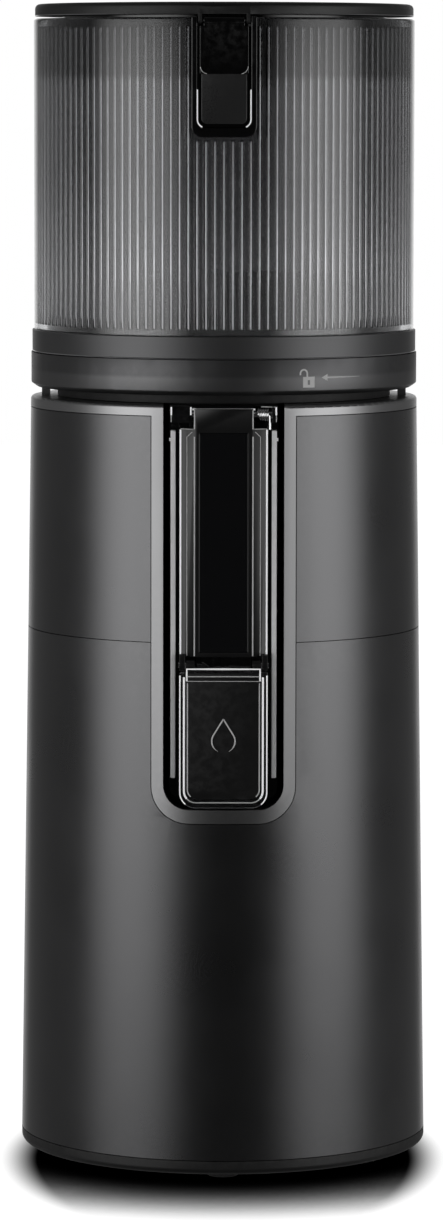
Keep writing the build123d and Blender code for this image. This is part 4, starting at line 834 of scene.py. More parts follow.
def stroke(form: Form, path: list[Point], widths: list[float], place: Callable, rise: Point) -> None:
    """Adds a raised line of changing width as a row of joined blocks.

    Args:
        form: The mesh.
        path: The line's points, in millimetres.
        widths: The line's width at each point.
        place: Takes across, up and out to a point in space.
        rise: How far out the hidden and the shown side lie.
    """
    rings = []
    for i, (u, v) in enumerate(path):
        before, after = path[max(i - 1, 0)], path[min(i + 1, len(path) - 1)]
        along = Vector((after[0] - before[0], after[1] - before[1])).normalized()
        side = Vector((-along.y, along.x)) * widths[i] / 2
        corners = ((side, rise[0]), (-side, rise[0]), (-side, rise[1]), (side, rise[1]))
        rings.append([form.verts.new(place(u + s.x, v + s.y, out)) for s, out in corners])
    for first, second in zip(rings, rings[1:]):
        for k in range(4):
            form.faces.new((first[k], first[(k + 1) % 4], second[(k + 1) % 4], second[k]))
    form.faces.new(rings[0][::-1])
    form.faces.new(rings[-1])


def arc(centre: Point, radius: float, start: float, end: float, steps: int) -> list[Point]:
    """Returns points along an arc, with its angles in degrees."""
    turns = [math.radians(start + (end - start) * i / steps) for i in range(steps + 1)]
    return [(centre[0] + radius * math.cos(a), centre[1] + radius * math.sin(a)) for a in turns]


def wired(name: str, takes: dict[str, str]) -> tuple[Graph, Node, Node]:
    """Starts a geometry tree with named inputs.

    Args:
        name: The tree's name.
        takes: Each input's name and socket type, after the geometry.

    Returns:
        The tree's graph, its input node and its output node.
    """
    tree = bpy.data.node_groups.new(name, "GeometryNodeTree")
    sockets = {"Geometry": "NodeSocketGeometry", **takes}
    take, give = group_sockets(tree, sockets, {"Geometry": "NodeSocketGeometry"})
    return Graph(tree), take, give


def grow(piece: Piece, graph: Graph, values: dict[str, object]) -> Piece:
    """Runs a geometry tree on a piece and keeps the result as its mesh.

    Args:
        piece: The piece that the tree starts from.
        graph: The finished tree.
        values: The value of each named input.

    Returns:
        The same piece, with a plain mesh.
    """
    growth = piece.modifiers.new("growth", "NODES")
    growth.node_group = graph.tree
    for item in graph.tree.interface.items_tree:
        if item.item_type == "SOCKET" and item.in_out == "INPUT" and item.name in values:
            growth[item.identifier] = values[item.name]
    piece.update_tag()
    bpy.context.view_layer.update()
    return settled(piece)


def end_as_tube(graph: Graph, give: Node, curve: object, sides: int, radius: object, finish: object) -> None:
    """Ends a geometry tree with a closed round tube along a curve.

    Args:
        graph: The tree's graph.
        give: Its output node.
        curve: The curve.
        sides: Faces round the tube.
        radius: The tube's radius.
        finish: Its material.
    """
    ring = graph.add("GeometryNodeCurvePrimitiveCircle", {"Resolution": sides, "Radius": radius}).outputs[0]
    tube = graph.add(
        "GeometryNodeCurveToMesh", {"Curve": curve, "Profile Curve": ring, "Fill Caps": True},
    ).outputs[0]
    real = graph.add("GeometryNodeRealizeInstances", {"Geometry": tube}).outputs[0]
    done = graph.add("GeometryNodeSetMaterial", {"Geometry": real, "Material": finish}).outputs[0]
    graph.feed(give.inputs[0], done)


def beads(name: str, paths: list[list[tuple]], radius: float, finish: Finish, body: str) -> None:
    """Runs a thin bead along a moulding's edges, as one piece; the pale beads paint the edges' highlights.

    Args:
        name: The piece's name.
        paths: The edges, each as points in millimetres.
        radius: The bead's radius in millimetres.
        finish: Its finish.
        body: The body it rides on.
    """
    graph, take, give = wired(f"{name}_tree", {"Radius": NUMBER, "Finish": "NodeSocketMaterial"})
    curve = graph.add("GeometryNodeMeshToCurve", {"Mesh": take.outputs["Geometry"]}).outputs[0]
    end_as_tube(graph, give, curve, 8, take.outputs["Radius"], take.outputs["Finish"])
    form = bmesh.new()
    for path in paths:
        points = [form.verts.new(Vector(point) * MM) for point in path]
        for first, second in zip(points, points[1:]):
            form.edges.new((first, second))
    piece = from_bmesh(name, form)
    carry(grow(piece, graph, {"Radius": radius * MM, "Finish": finish.material()}), finish, body)


def ringed(radius: float, height: float, steps: int, start: float = 0.0, sweep: float = 360.0) -> list[tuple]:
    """Returns points round the juicer's axis.

    Args:
        radius: Their distance from the axis, in millimetres.
        height: Their height.
        steps: Steps between the first point and the last.
        start: Angle of the first point from the front, in degrees.
        sweep: Angle from there to the last one.

    Returns:
        The points.
    """
    turns = [math.radians(start + sweep * i / steps) for i in range(steps + 1)]
    return [(radius * math.sin(turn), -radius * math.cos(turn), height) for turn in turns]


def mirrored(path: list[tuple]) -> list[list[tuple]]:
    """Returns a path and its mirror image across the middle."""
    return [path, [(-x, y, z) for x, y, z in path]]


# Sub-assemblies.
@dataclass
class Housing:
    """The body's outer shell, its bezel and what it stands on.

    Attributes:
        foot: Radius and height of the bead that paints the highlight along the foot ring's lower edge, in
            millimetres.
    """

    foot: Point = (73.6, 1.95)

    def build(self) -> None:
        """Dresses the shell's solids."""
        # A paler bead paints the highlight round the foot ring's lower edge.
        beads("foot_bead", [ringed(*self.foot, 160)], 0.4, Finish.FOOT_EDGE, "base")
        dress(Finish.CHARCOAL, "lower_housing", "upper_housing")
        dress(Finish.BEZEL, "chamber_well")
        dress(Finish.MATT, "foot_ring", "base_plate")
        dress(Finish.RUBBER, "rubber_feet")
        dress(Finish.STEEL, "base_screws")
        dress(Finish.GLOSS, "pulp_spout")


@dataclass
class RearPanel:
    """The panel behind the body, with the inlet and the rocker."""

    def build(self) -> None:
        """Dresses the panel's solids."""
        dress(Finish.MATT, "rear_panel")
        dress(Finish.COMPONENT, "power_inlet")
        dress(Finish.GLOSS, "switch_housing", "power_rocker")


@dataclass
class Drive:
    """The motor, the gears and the board inside the body."""

    def build(self) -> None:
        """Dresses the drive's solids."""
        dress(Finish.STEEL, "motor_can", "gearbox_screws", "auger_socket")
        dress(Finish.SHEETS, "motor_stator", "motor_rotor")
        dress(Finish.MATT, "motor_end_bell")
        dress(Finish.RUBBER, "motor_dampers")
        dress(Finish.BRIGHT, "motor_bearings", "gear_pins", "motor_shaft", "drive_shaft")
        dress(Finish.COMPONENT, "gearbox_base", "gearbox_cover", "board_components", "cooling_fan")
        dress(Finish.BRONZE, "output_bearing")
        dress(Finish.SILICONE, "shaft_seal")
        dress(Finish.BOARD, "control_board")
        dress(Finish.GEAR, "motor_pinion", "second_gear", "output_gear")
        dress(Finish.NYLON, "first_gear")


@dataclass
class JuiceChamber:
    """The drum with its front column, and the press screw in it.

    Attributes:
        hinge: Height and depth of the cover's hinge, in millimetres.
        coil: Outer radius of the spring.
        wire: Thickness of the spring's wire.
        span: The coil's two ends across the front.
        turns: Turns in the coil.
        leg: How far the wire runs down beside the cover.
    """

    hinge: Point = (277.2, -67.5)
    coil: float = 2.7
    wire: float = 0.78
    span: Point = (12.3, 16.6)
    turns: float = 5.0
    leg: float = 5.2

    def spring(self) -> Piece:
        """Returns the torsion spring, wound along the hinge pin with its leg down the side."""
        names = ("Radius", "Turns", "Start", "Width", "Height", "Depth", "Leg", "Wire")
        takes = {name: NUMBER for name in names}
        graph, take, give = wired("torsion_spring", {**takes, "Finish": "NodeSocketMaterial"})
        sizes = take.outputs
        wound, straight = 160, 20
        line = graph.add("GeometryNodeMeshLine", {"Count": wound + straight + 1}).outputs[0]
        step = graph.add("GeometryNodeInputIndex").outputs[0]
        share = graph.sum("MINIMUM", graph.sum("DIVIDE", step, wound), 1.0)
        past = graph.sum("MAXIMUM", graph.sum("DIVIDE", graph.sum("SUBTRACT", step, wound), straight), 0.0)
        turn = graph.sum("MULTIPLY", graph.sum("MULTIPLY", share, sizes["Turns"]), math.tau)
        across = graph.sum("ADD", sizes["Start"], graph.sum("MULTIPLY", share, sizes["Width"]))
        out = graph.sum("MULTIPLY", graph.sum("COSINE", turn), sizes["Radius"])
        up = graph.sum("MULTIPLY", graph.sum("SINE", turn), sizes["Radius"])
        depth = graph.sum("SUBTRACT", sizes["Depth"], out)
        height = graph.sum("ADD", sizes["Height"], up)
        low = graph.sum("SUBTRACT", height, graph.sum("MULTIPLY", past, sizes["Leg"]))
        spot = graph.add("ShaderNodeCombineXYZ", {"X": across, "Y": depth, "Z": low}).outputs[0]
        placed = graph.add("GeometryNodeSetPosition", {"Geometry": line, "Position": spot}).outputs[0]
        curve = graph.add("GeometryNodeMeshToCurve", {"Mesh": placed}).outputs[0]
        end_as_tube(graph, give, curve, 10, graph.sum("DIVIDE", sizes["Wire"], 2.0), sizes["Finish"])
        piece = new_piece("coil_spring", bpy.data.meshes.new("coil_spring"))
        sizes_mm = {
            "Radius": self.coil - self.wire / 2, "Start": self.span[0], "Width": self.span[1] - self.span[0],
            "Height": self.hinge[0], "Depth": self.hinge[1], "Leg": self.leg, "Wire": self.wire,
        }
        values = {name: value * MM for name, value in sizes_mm.items()}
        return grow(piece, graph, {**values, "Turns": self.turns, "Finish": Finish.BRIGHT.material()})

    def highlights(self) -> None:
        """Adds pale beads that paint the highlights on the hinge lugs' edges, and two small studs beside them
        that paint glints.
        """
        front, low, top = -70.5, 274.7, 280.1
        bright = [[(x, front, 277.2), (x, front, top)] for x in (-18.8, -11.8, 18.8)]
        studs = mirrored([(19.35, -64.5, 267.5), (19.35, -64.5, 268.6)])
        beads("lug_beads", bright + studs, 0.3, Finish.LIT_EDGE, "chamber")
        thin = mirrored([(18.85, front, low), (18.85, front, 277.2)])
        thin += [[(13.4, front + 0.3, top + 0.1), (18.8, front, top)]]
        beads("lug_lines", thin, 0.17, Finish.PRINT, "chamber")

    def build(self) -> None:
        """Dresses the chamber and builds its spring."""
        self.highlights()
        dress(Finish.DRUM, "drum")
        dress(Finish.SILICONE, "drum_seal")
        dress(Finish.STEEL, "strainer")
        dress(Finish.BRIGHT, "cover_pin")
        dress(Finish.AUGER, "auger", "feed_wing")
        soften("drum_column", "front_column", 0.5, Finish.GLOSS, "chamber")
        soften("column_rails", "guide_rails", 0.35, Finish.RAIL, "chamber")
        carry(self.spring(), Finish.BRIGHT, "chamber", "cover_spring")


@dataclass
class FrontCover:
    """The long cover over the juice channel.

    Attributes:
        side: Half width and front of the painted highlight line along the cover's sides, in millimetres.
        bevel: Half width and front where the bevel bends.
        face: Half width and front of the face's edge.
        span: Lowest and highest level of the sides.
        tongue: Top of the tongue's edge.
    """

    side: Point = (15.5, -69.15)
    bevel: Point = (13.2, -70.4)
    face: Point = (10.5, -71.35)
    span: Point = (190.4, 271.9)
    tongue: float = 279.0

    def edges(self) -> None:
        """Adds pale beads along the cover's edges, which paint their highlights."""
        low, high = self.span
        bright = mirrored([(*self.side, low), (*self.side, high)])
        bright += mirrored([(9.8, -69.9, 279.2), (11.3, -69.9, 279.2)])
        beads("cover_side_beads", bright, 0.34, Finish.LIT_EDGE, "cover")
        bend = [(*self.bevel, low), (*self.bevel, high - 2.6), (11.3, -71.1, high - 0.7)]
        over = high + 0.3
        shoulder = [(*self.side, over), (*self.bevel, over), (self.face[0] + 0.2, -71.2, over)]
        lines = mirrored(bend) + mirrored(shoulder) + [[(-10.4, -70.6, 278.0), (10.4, -70.6, 278.0)]]
        beads("cover_bevel_beads", lines, 0.15, Finish.PRINT, "cover")
        face = mirrored([(*self.face, low), (*self.face, high - 2.4)])
        face += mirrored([(*self.face, high + 0.3), (10.45, -71.2, self.tongue)])
        bar = [(-10.4, -69.8, 279.3), (10.4, -69.8, 279.3)]
        beads("cover_face_beads", face + [bar], 0.25, Finish.PRINT, "cover")

    def build(self) -> None:
        """Rounds and dresses the cover's solids."""
        soften("channel_cover", "front_cover", 0.4, Finish.COVER, "cover")
        soften("cover_inlay", "inlay", 0.15, Finish.INLAY, "cover")
        dress(Finish.BRIGHT, "cap_pins")
        self.edges()


@dataclass
class JuiceCap:
    """The cap over the juice nozzle, with its drop mark.

    Attributes:
        inner: Half width of the plate inside the rim, in millimetres.
        rim_y: The rim's front face.
        plate_y: The plate's front face.
        span: Lowest and highest level of the rim.
        step: Height of the step below the cap's top.
        lip_top: Top of the clear lip between the ears.
        tip: Height of the drop's tip.
        round: Middle height and radius of the drop's round part.
        line: Width of the drop's line.
    """

    inner: float = 13.0
    rim_y: float = -73.9
    plate_y: float = -74.5
    span: Point = (135.3, 184.3)
    step: float = 181.5
    lip_top: float = 185.8
    tip: float = 167.9
    round: Point = (159.9, 4.2)
    line: float = 0.5

    def u_line(self, half: float, low: float, radius: float, top: float, y: float) -> list[tuple]:
        """Returns the right half of a line that follows the rim's side and lower corner.

        Args:
            half: Half width of the line.
            low: Its lowest level.
            radius: Radius of its corner.
            top: Where it starts.
            y: Its depth.

        Returns:
            The line's points down to the corner's end.
        """
        bend = arc((half - radius, low + radius), radius, 0, -90, 9)
        return [(u, y, v) for u, v in [(half, top)] + bend]

    def edges(self) -> None:
        """Adds pale beads along the clear rim's edges, which paint their highlights."""
        low, rim = self.span[0], self.rim_y - 0.02
        bright = mirrored(self.u_line(14.2, low + 2.2, 4.2, 183.0, rim)[:6])
        across = self.inner + 0.2
        lip = [(across, -72.7, self.step - 0.2), (across, -72.7, self.lip_top), (0.0, -72.7, self.lip_top)]
        beads("rim_middle_beads", bright + mirrored(lip), 0.36, Finish.LIT_EDGE, "cap")
        outer = mirrored(self.u_line(15.65, low + 0.3, 5.6, 183.6, rim + 0.2)[:7])
        beads("rim_outer_beads", outer, 0.26, Finish.LIT_EDGE, "cap")
        feet = mirrored(self.u_line(14.2, low + 2.2, 4.2, 183.0, rim)[5:] + [(0.0, rim, low + 2.2)])
        inside = mirrored(self.u_line(12.93, low + 3.7, 3.3, self.step - 0.6, self.plate_y + 0.05)[:7])
        second = [[(-across, -72.8, 183.1), (across, -72.8, 183.1)]]
        beads("plate_beads", feet + inside + second, 0.22, Finish.PRINT, "cap")
        under = self.u_line(15.65, low + 0.3, 5.6, 183.6, rim + 0.2)[6:]
        dim = mirrored(under + [(0.0, rim + 0.2, low + 0.3)])
        dim += [[(-across, self.plate_y, self.step + 0.1), (across, self.plate_y, self.step + 0.1)]]
        beads("rim_foot_beads", dim, 0.12, Finish.PRINT, "cap")

    def lip(self) -> Piece:
        """Returns the clear lip that closes the gap between the cap's two ears."""
        low, high = self.span[1] - 0.2, self.lip_top
        x, back, front = self.inner, -71.5, -72.7
        form = bmesh.new()
        flat = [(-x, low), (x, low), (x, high), (-x, high)]
        prism(form, flat, lambda u, v, out: Vector((u, -out, v)) * MM, -back, -front)
        bmesh.ops.recalc_face_normals(form, faces=form.faces)
        piece = from_bmesh("cap_lip", form)
        bevel = piece.modifiers.new("rounding", "BEVEL")
        bevel.width = 0.2 * MM
        bevel.segments = 2
        return settled(piece, sharp=30.0)

    def on_plate(self, u: float, v: float, out: float) -> Vector:
        """Takes a flat point to the plate's front face."""
        return Vector((u, self.plate_y - out, v)) * MM

    def drop(self) -> Piece:
        """Returns the drop's outline as a thin raised line that fades at its foot."""
        middle, radius = self.round
        reach = self.tip - middle
        touch = 90 - math.degrees(math.acos(radius / reach))
        side = [(0.0, self.tip)] + arc((0.0, middle), radius, touch, -62, 22)
        fade = [1.0] * 12 + [1.0 - 0.85 * i / (len(side) - 13) for i in range(len(side) - 12)]
        widths = [self.line * share for share in fade]
        form = bmesh.new()
        for turn in (1, -1):
            path = [(turn * u, v) for u, v in side]
            stroke(form, path, widths, self.on_plate, (-0.1, 0.04))
        bmesh.ops.recalc_face_normals(form, faces=form.faces)
        return from_bmesh("drop_mark", form)

    def build(self) -> None:
        """Builds the cap."""
        soften("cap_shell", "clear_rim", 0.3, Finish.EDGE, "cap")
        soften("cap_core", "cap_plate", 0.25, Finish.CAP_MATT, "cap")
        dress(Finish.SILICONE, "cap_seal")
        carry(self.lip(), Finish.EDGE, "cap")
        carry(self.drop(), Finish.PRINT, "cap")
        self.edges()


@dataclass
class Hopper:
    """The smoked hopper with its lock collar and latch frame.

    Attributes:
        outer: Outer radius of the wall, in millimetres.
        inner: Inner radius of the wall.
        band: Radius of the band at the wall's foot.
        heights: Lowest and highest level of the wall.
        band_top: Top of the band.
        flutes: Number of flutes.
        flute_depth: How deep a flute is cut.
        flute_w: Width of a flute.
        flute_span: Lowest and highest level of the flutes.
        short_top: Top of the flutes below the latch.
        short_arc: Half of the angle that the short flutes cover, in degrees.
        rim: Rounding of the top edge.
        collar: Radius of the lock collar.
        mark_z: Height of the marks on the collar.
    """

    outer: float = 70.3
    inner: float = 65.7
    band: float = 71.0
    heights: Point = (297.15, 419.2)
    band_top: float = 305.0
    flutes: int = 132
    flute_depth: float = 0.35
    flute_w: float = 1.8
    flute_span: Point = (307.4, 416.0)
    short_top: float = 375.4
    short_arc: float = 9.6
    rim: float = 0.8
    collar: float = 71.4
    mark_z: float = 290.2

    def sector(self, name: str, top: float) -> Piece:
        """Builds the wall's slice behind one flute, at the front.

        Args:
            name: The slice's name.
            top: Where its flute ends.

        Returns:
            The slice as an open mesh, with its two cut sides left open.
        """
        low, high = self.heights
        rim_out = arc((self.outer - self.rim, high - self.rim), self.rim, 0, 90, 5)
        rim_in = arc((self.inner + self.rim, high - self.rim), self.rim, 90, 180, 5)
        skin = [
            (self.inner, low), (self.band, low), (self.band, self.band_top),
            (self.outer, self.band_top + 0.4), (self.outer, 340.0), (self.outer, 380.0), *rim_out, *rim_in,
        ]
        foot = self.flute_span[0]
        rows = [(top + 0.02, 0.0), (top, 0.35), (top - 0.25, 0.75), (top - 0.7, 1.0)]
        rows += [(top - 30, 1.0), (foot + 30, 1.0), (foot + 0.7, 1.0), (foot, 0.4), (foot - 0.02, 0.0)]
        half = self.flute_w / 2
        pitch = math.tau / self.flutes
        side = pitch * self.inner / 2
        cuts = [-side, -half, -0.66, -0.29, -0.1, 0.1, 0.29, 0.66, half, half + 0.16, half + 0.38, side]
        form = bmesh.new()
        zone = form.faces.layers.int.new("zone")
        columns = []
        for across in cuts:
            cut = max(0.0, 1 - (across / half) ** 2) * self.flute_depth
            loop = skin + [(self.inner + cut * deep, z) for z, deep in rows]
            turn = across / self.inner
            points = [(r * math.sin(turn), -r * math.cos(turn), z) for r, z in loop]
            columns.append([form.verts.new(Vector(point) * MM) for point in points])
        for k, (left, right) in enumerate(zip(columns, columns[1:])):
            bright = 3 <= k <= 5
            for i in range(len(left)):
                j = (i + 1) % len(left)
                face = form.faces.new((left[i], right[i], right[j], left[j]))
                row = i - len(skin)
                fluted = 2 <= row <= len(rows) - 3
                face[zone] = 3 if i < 3 else 2 if bright and fluted else 1 if i >= len(skin) - 6 else 0
        return from_bmesh(name, form, smooth=True)

    def wall(self) -> Piece:
        """Returns the fluted wall: slices set round the axis, short ones below the latch."""
        graph, take, give = wired(
            "flutes_round_axis",
            {
                "Short Slice": "NodeSocketObject", "Flutes": "NodeSocketInt", "Short Arc": NUMBER,
                "Outside": "NodeSocketMaterial", "Inside": "NodeSocketMaterial",
                "Flute Edge": "NodeSocketMaterial", "Band": "NodeSocketMaterial",
            },
        )
        count = take.outputs["Flutes"]
        step = graph.add("GeometryNodeInputIndex").outputs[0]
        turn = graph.sum("MULTIPLY", graph.sum("DIVIDE", step, count), math.tau)
        aside = graph.sum("ARCCOSINE", graph.sum("COSINE", turn))
        short = graph.add(
            "FunctionNodeCompare", {0: aside, 1: take.outputs["Short Arc"]}, operation="LESS_THAN",
        ).outputs[0]
        full = graph.add("FunctionNodeBooleanMath", {0: short}, operation="NOT").outputs[0]
        euler = graph.add("ShaderNodeCombineXYZ", {"Z": turn}).outputs[0]
        turned = graph.add("FunctionNodeEulerToRotation", {0: euler}).outputs[0]
        spots = graph.add("GeometryNodePoints", {"Count": count}).outputs[0]
        info = graph.add("GeometryNodeObjectInfo", {"Object": take.outputs["Short Slice"]})
        sets = []
        for slice_mesh, chosen in ((take.outputs["Geometry"], full), (info.outputs["Geometry"], short)):
            sets.append(graph.add(
                "GeometryNodeInstanceOnPoints",
                {"Points": spots, "Selection": chosen, "Instance": slice_mesh, "Rotation": turned},
            ).outputs[0])
        joined = graph.add("GeometryNodeJoinGeometry")
        for part in sets:
            graph.feed(joined.inputs[0], part)
        real = graph.add("GeometryNodeRealizeInstances", {"Geometry": joined.outputs[0]}).outputs[0]
        merged = graph.add(
            "GeometryNodeMergeByDistance", {"Geometry": real, "Distance": 0.002 * MM},
        ).outputs[0]
        zone = graph.add("GeometryNodeInputNamedAttribute", {"Name": "zone"}, data_type="INT").outputs[0]
        dressed = graph.add(
            "GeometryNodeSetMaterial", {"Geometry": merged, "Material": take.outputs["Outside"]},
        ).outputs[0]
        for number, name in enumerate(("Inside", "Flute Edge", "Band"), start=1):
            chosen = graph.add(
                "FunctionNodeCompare", {2: zone, 3: number}, data_type="INT", operation="EQUAL",
            ).outputs[0]
            dressed = graph.add(
                "GeometryNodeSetMaterial",
                {"Geometry": dressed, "Selection": chosen, "Material": take.outputs[name]},
            ).outputs[0]
        graph.feed(give.inputs[0], dressed)
        piece = self.sector("fluted_wall", self.flute_span[1])
        short_slice = self.sector("short_slice", self.short_top)
        grow(piece, graph, {
            "Short Slice": short_slice, "Flutes": self.flutes, "Short Arc": math.radians(self.short_arc),
            "Outside": Finish.SMOKE.material(), "Inside": Finish.SMOKE_INSIDE.material(),
            "Flute Edge": Finish.FLUTE_EDGE.material(), "Band": Finish.BAND.material(),
        })
        bpy.data.objects.remove(short_slice)
        return piece

    def marks(self) -> Piece:
        """Returns the open padlock and the arrow to the left, printed on the collar."""
        def place(u: float, v: float, out: float) -> Vector:
            """Wraps a flat point round the collar."""
            turn = u / self.collar
            reach = self.collar + out
            return Vector((reach * math.sin(turn), -reach * math.cos(turn), v)) * MM

        form = bmesh.new()
        rise = (-0.08, 0.03)
        lock, low = 31.6, self.mark_z - 3.4
        width, tall = 4.6, 3.9
        slot_half, slot_low, slot_top = 0.45, low + 1.0, low + 2.7
        for left, right, foot, top in (
            (lock - width / 2, lock - slot_half, low, low + tall),
            (lock + slot_half, lock + width / 2, low, low + tall),
            (lock - slot_half, lock + slot_half, low, slot_low),
            (lock - slot_half, lock + slot_half, slot_top, low + tall),
        ):
            prism(form, [(left, foot), (right, foot), (right, top), (left, top)], place, *rise)
        bow = lock - 2.0
        path = [(bow + 1.35, low + tall - 0.2), (bow + 1.35, low + tall + 1.2)]
        path += arc((bow, low + tall + 1.2), 1.35, 12, 180, 12) + [(bow - 1.35, low + tall + 0.6)]
        stroke(form, path, [0.62] * len(path), place, rise)
        tip, level = 36.8, self.mark_z + 0.1
        prism(form, [(tip, level), (tip + 2.5, level - 1.25), (tip + 2.5, level + 1.25)], place, *rise)
        tail = [(tip + 2.3 + i * 1.5, level) for i in range(11)]
        stroke(form, tail, [0.62 * (1 - i / 12) for i in range(11)], place, rise)
        bmesh.ops.recalc_face_normals(form, faces=form.faces)
        return from_bmesh("lock_marks", form)

    def frame_edges(self) -> None:
        """Adds the thin highlights round the latch frame and its pocket."""
        bend = arc((6.6, 382.8), 2.95, 0, -66, 7)
        pocket = [(9.55, -73.5, 393.4)] + [(u, -73.5, v) for u, v in bend]
        beads("pocket_beads", mirrored(pocket), 0.24, Finish.LIT_EDGE, "hopper")
        corner = arc((6.7, 382.9), 3.8, 0, -80, 8)
        outline = [(10.5, -73.5, 418.5)] + [(u, -73.5, v) for u, v in corner]
        foot = [(-6.5, -73.5, 378.8), (6.5, -73.5, 378.8)]
        beads("frame_beads", mirrored(outline) + [foot], 0.09, Finish.PRINT, "hopper")

    def build(self) -> None:
        """Builds the hopper."""
        soften("hopper_collar", "lock_collar", 0.35, Finish.COLLAR, "hopper")
        dress(Finish.SILICONE, "hopper_seal")
        dress(Finish.GLOSS, "hopper_funnel", "hinge_bracket")
        dress(Finish.BRIGHT, "lid_hinge_pin")
        carry(self.wall(), Finish.SMOKE, "hopper", "hopper_wall")
        soften("latch_frame", "frame_of_latch", 0.5, Finish.GLOSS, "hopper")
        carry(self.marks(), Finish.PRINT, "hopper")
        band_line = ringed(self.band - 0.1, self.heights[0] + 0.25, 144)
        beads("band_bead", [band_line], 0.19, Finish.FLUTE_EDGE, "hopper")
        self.frame_edges()


@dataclass
class Lid:
    """The hopper's lid with its bowl and its sprung latch."""

    def build(self) -> None:
        """Builds the lid."""
        soften("hopper_lid", "lid_disc", 0.25, Finish.MATT, "lid")
        dress(Finish.GLOSS, "lid_plug")
        soften("lid_latch", "pull_latch", 0.4, Finish.LATCH, "latch")
        dress(Finish.MAGNET, "latch_magnet")
        # Pale beads paint the highlights down the tab's sides and round the upper panel's lower corners.
        side = [(7.9, -74.1, 398.0), (7.9, -74.1, 383.5)]
        curl = [(u, -74.5, v) for u, v in arc((5.9, 401.6), 2.6, -4, -84, 7)]
        beads("latch_beads", mirrored(side) + mirrored(curl), 0.12, Finish.PRINT, "latch")
        rim = ringed(69.75, 420.35, 132, start=14.0, sweep=332.0)
        beads("lid_bead", [rim], 0.15, Finish.FLUTE_EDGE, "lid")


# Studio.
@dataclass(frozen=True)
class Softbox:
    """A tall soft light.

    Attributes:
        name: Its name.
        azimuth: Its direction from the front, in degrees, with the right side positive.
        distance: Its distance from the juicer in metres.
        height: Height of its middle.
        size: Its width and height.
        level: Its brightness, where white is 1.
    """

    name: str
    azimuth: float
    distance: float
    height: float
    size: Point
    level: float

    def build(self) -> None:
        """Adds the light, facing the axis and out of the camera's own sight."""
        lamp = bpy.data.lights.new(self.name, "AREA")
        lamp.shape = "RECTANGLE"
        lamp.size, lamp.size_y = self.size
        lamp.energy = self.level * math.pi * self.size[0] * self.size[1]
        lamp.use_nodes = True
        graph = Graph(lamp.node_tree)
        spread = graph.add("ShaderNodeNewGeometry").outputs["Parametric"]
        across = graph.add("ShaderNodeSeparateXYZ", {0: spread})
        fall = [
            graph.ramp(graph.sum("ABSOLUTE", graph.sum("SUBTRACT", across.outputs[axis], 0.5)), (0.5, 0.08))
            for axis in ("X", "Y")
        ]
        emission = next(node for node in lamp.node_tree.nodes if node.type == "EMISSION")
        graph.feed(emission.inputs["Strength"], graph.sum("MULTIPLY", *fall))
        holder = bpy.data.objects.new(self.name, lamp)
        turn = math.radians(self.azimuth)
        spot = Vector((math.sin(turn), -math.cos(turn), 0)) * self.distance
        spot.z = self.height
        aim = Vector((0, 0, AIM_Z)) - spot
        holder.matrix_world = Matrix.Translation(spot) @ aim.to_track_quat("-Z", "Y").to_matrix().to_4x4()
        holder.visible_camera = False
        bpy.context.scene.collection.objects.link(holder)


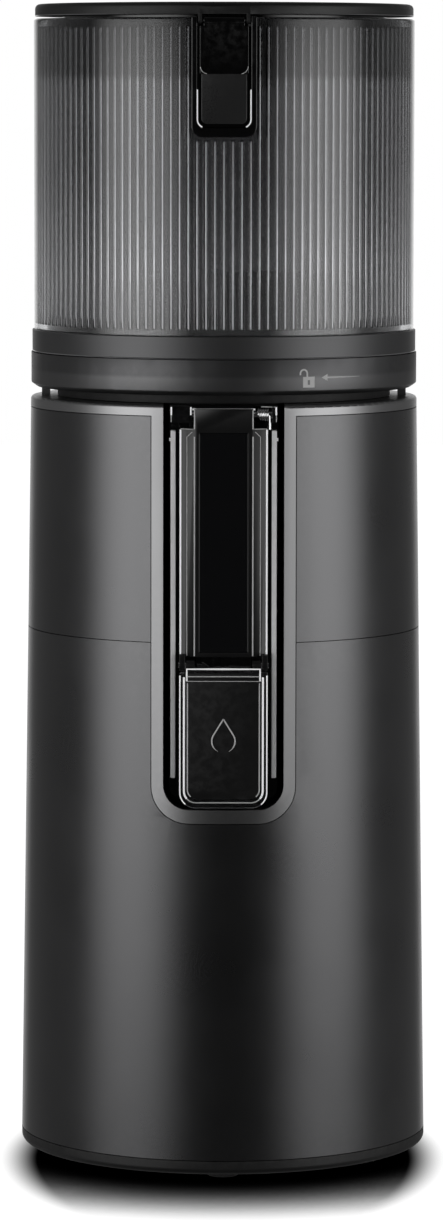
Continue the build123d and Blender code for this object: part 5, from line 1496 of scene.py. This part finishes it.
@dataclass
class Studio:
    """Floor, background, lights and camera.

    Attributes:
        eye: Where the camera stands, in metres.
        pitch: How far it looks down, in degrees.
        roll: How far it leans, in degrees.
        lens: Its focal length in millimetres.
        shift: The shift that frames the juicer.
        backdrop: How squarely gloss has to look back to see the white background.
        room: Brightness of the room before and behind the juicer.
        floor: Radius of the floor.
        oval: How much the painted contact shadow's oval shrinks across and along, for each metre.
        ahead: How far it is moved towards the front, in those terms.
        edge: Where the oval starts and ends to fade.
        reach: How far off the juicer the painted shadow, from ambient occlusion, still darkens the floor.
    """

    eye: Triple = (0.0, -2.0, 0.393)
    pitch: float = 5.57
    roll: float = -0.078
    lens: float = 157.4
    shift: Point = (-0.0018, 0.0)
    backdrop: Point = (0.86, 0.985)
    room: Point = (0.02, 0.16)
    floor: float = 4.0
    oval: Triple = (13.9, 8.3, 0.0)
    ahead: Triple = (0.0, 0.25, 0.0)
    edge: Point = (0.954, 1.177)
    reach: float = 0.12

    def camera(self) -> None:
        """Adds the camera at a level just under the hopper's rim."""
        lens = bpy.data.cameras.new("camera")
        lens.lens = self.lens
        lens.sensor_width = 36.0
        lens.shift_x, lens.shift_y = self.shift
        lens.clip_end = 50.0
        holder = bpy.data.objects.new("camera", lens)
        holder.location = self.eye
        holder.rotation_euler = (math.radians(90 - self.pitch), math.radians(self.roll), 0)
        bpy.context.scene.collection.objects.link(holder)
        bpy.context.scene.camera = holder

    def background(self) -> None:
        """Makes a white background, which gloss sees only behind the juicer, as with a backdrop."""
        world = bpy.data.worlds.new("studio")
        world.use_nodes = True
        bpy.context.scene.world = world
        graph = Graph(world.node_tree)
        towards = graph.add("ShaderNodeTexCoord").outputs["Generated"]
        back = graph.add("ShaderNodeSeparateXYZ", {0: towards}).outputs["Y"]
        room = graph.ramp(back, (-0.75, 0.3), self.room)
        lit = graph.sum("MAXIMUM", graph.ramp(back, self.backdrop), room)
        strength = graph.sum("MAXIMUM", graph.seen(), lit)
        graph.fill(world.node_tree.nodes["Background"], {"Color": rgba(grey(1.0)), "Strength": strength})

    def ground(self) -> None:
        """Adds the pale floor, with the juicer's contact shadow painted into its colour and emission from
        ambient occlusion and an oval; it turns white away from it.
        """
        form = bmesh.new()
        bmesh.ops.create_circle(form, cap_ends=True, segments=96, radius=self.floor)
        floor = from_bmesh("floor", form)
        paint = bpy.data.materials.new("floor_paint")
        paint.use_nodes = True
        graph = Graph(paint.node_tree)
        shader = paint.node_tree.nodes["Principled BSDF"]
        place = graph.place()
        oval = graph.add(
            "ShaderNodeVectorMath", {0: place, 1: self.oval, 2: self.ahead}, operation="MULTIPLY_ADD",
        ).outputs[0]
        far = graph.ramp(graph.length(oval), self.edge)
        tone = graph.blend(graph.noise(place, 60.0), rgba(grey(0.50)), rgba(grey(0.54)))
        # Painted shadow: ambient occlusion, cut off by the oval, darkens the floor's colour and emission.
        near = graph.add("ShaderNodeAmbientOcclusion", {"Distance": self.reach}, samples=64)
        covered, spread, steep = 0.5, 0.45, 4.5
        clear = graph.sum("DIVIDE", graph.sum("SUBTRACT", near.outputs["AO"], covered), spread)
        clear = graph.sum("POWER", graph.sum("MINIMUM", graph.sum("MAXIMUM", clear, 0.0), 1.0), steep)
        clear = graph.sum("MAXIMUM", graph.ramp(clear, (0.0, 0.8)), far)
        graph.fill(shader, {
            "Base Color": graph.blend(clear, rgba(grey(0.0)), tone), "Roughness": 0.9,
            "Specular IOR Level": 0.0, "Emission Color": rgba(grey(1.0)),
            "Emission Strength": graph.sum("MULTIPLY", clear, graph.seen()),
        })
        floor.data.materials.append(paint)
        floor.location.z = -0.0001
        floor.visible_glossy = False
        floor.visible_shadow = False

    def build(self) -> None:
        """Sets the whole studio up."""
        self.camera()
        self.background()
        self.ground()
        for lamp in (
            Softbox("left_softbox", -53.0, 1.5, 0.30, (2.1, 1.4), 2.95),
            Softbox("right_softbox", 60.0, 1.5, 0.30, (2.1, 1.4), 2.8),
            Softbox("top_softbox", 180.0, 1.2, 1.9, (1.2, 0.8), 0.8),
        ):
            lamp.build()
        bpy.context.scene.view_settings.view_transform = "Standard"


def main() -> None:
    """Builds the studio and every sub-assembly."""
    logging.basicConfig(level=logging.INFO, format="%(name)s: %(message)s")
    for part in (
        Studio(), Housing(), RearPanel(), Drive(), JuiceChamber(), FrontCover(), JuiceCap(), Hopper(), Lid(),
    ):
        part.build()
        LOG.info("built %s", type(part).__name__)


if __name__ == "__main__":
    main()
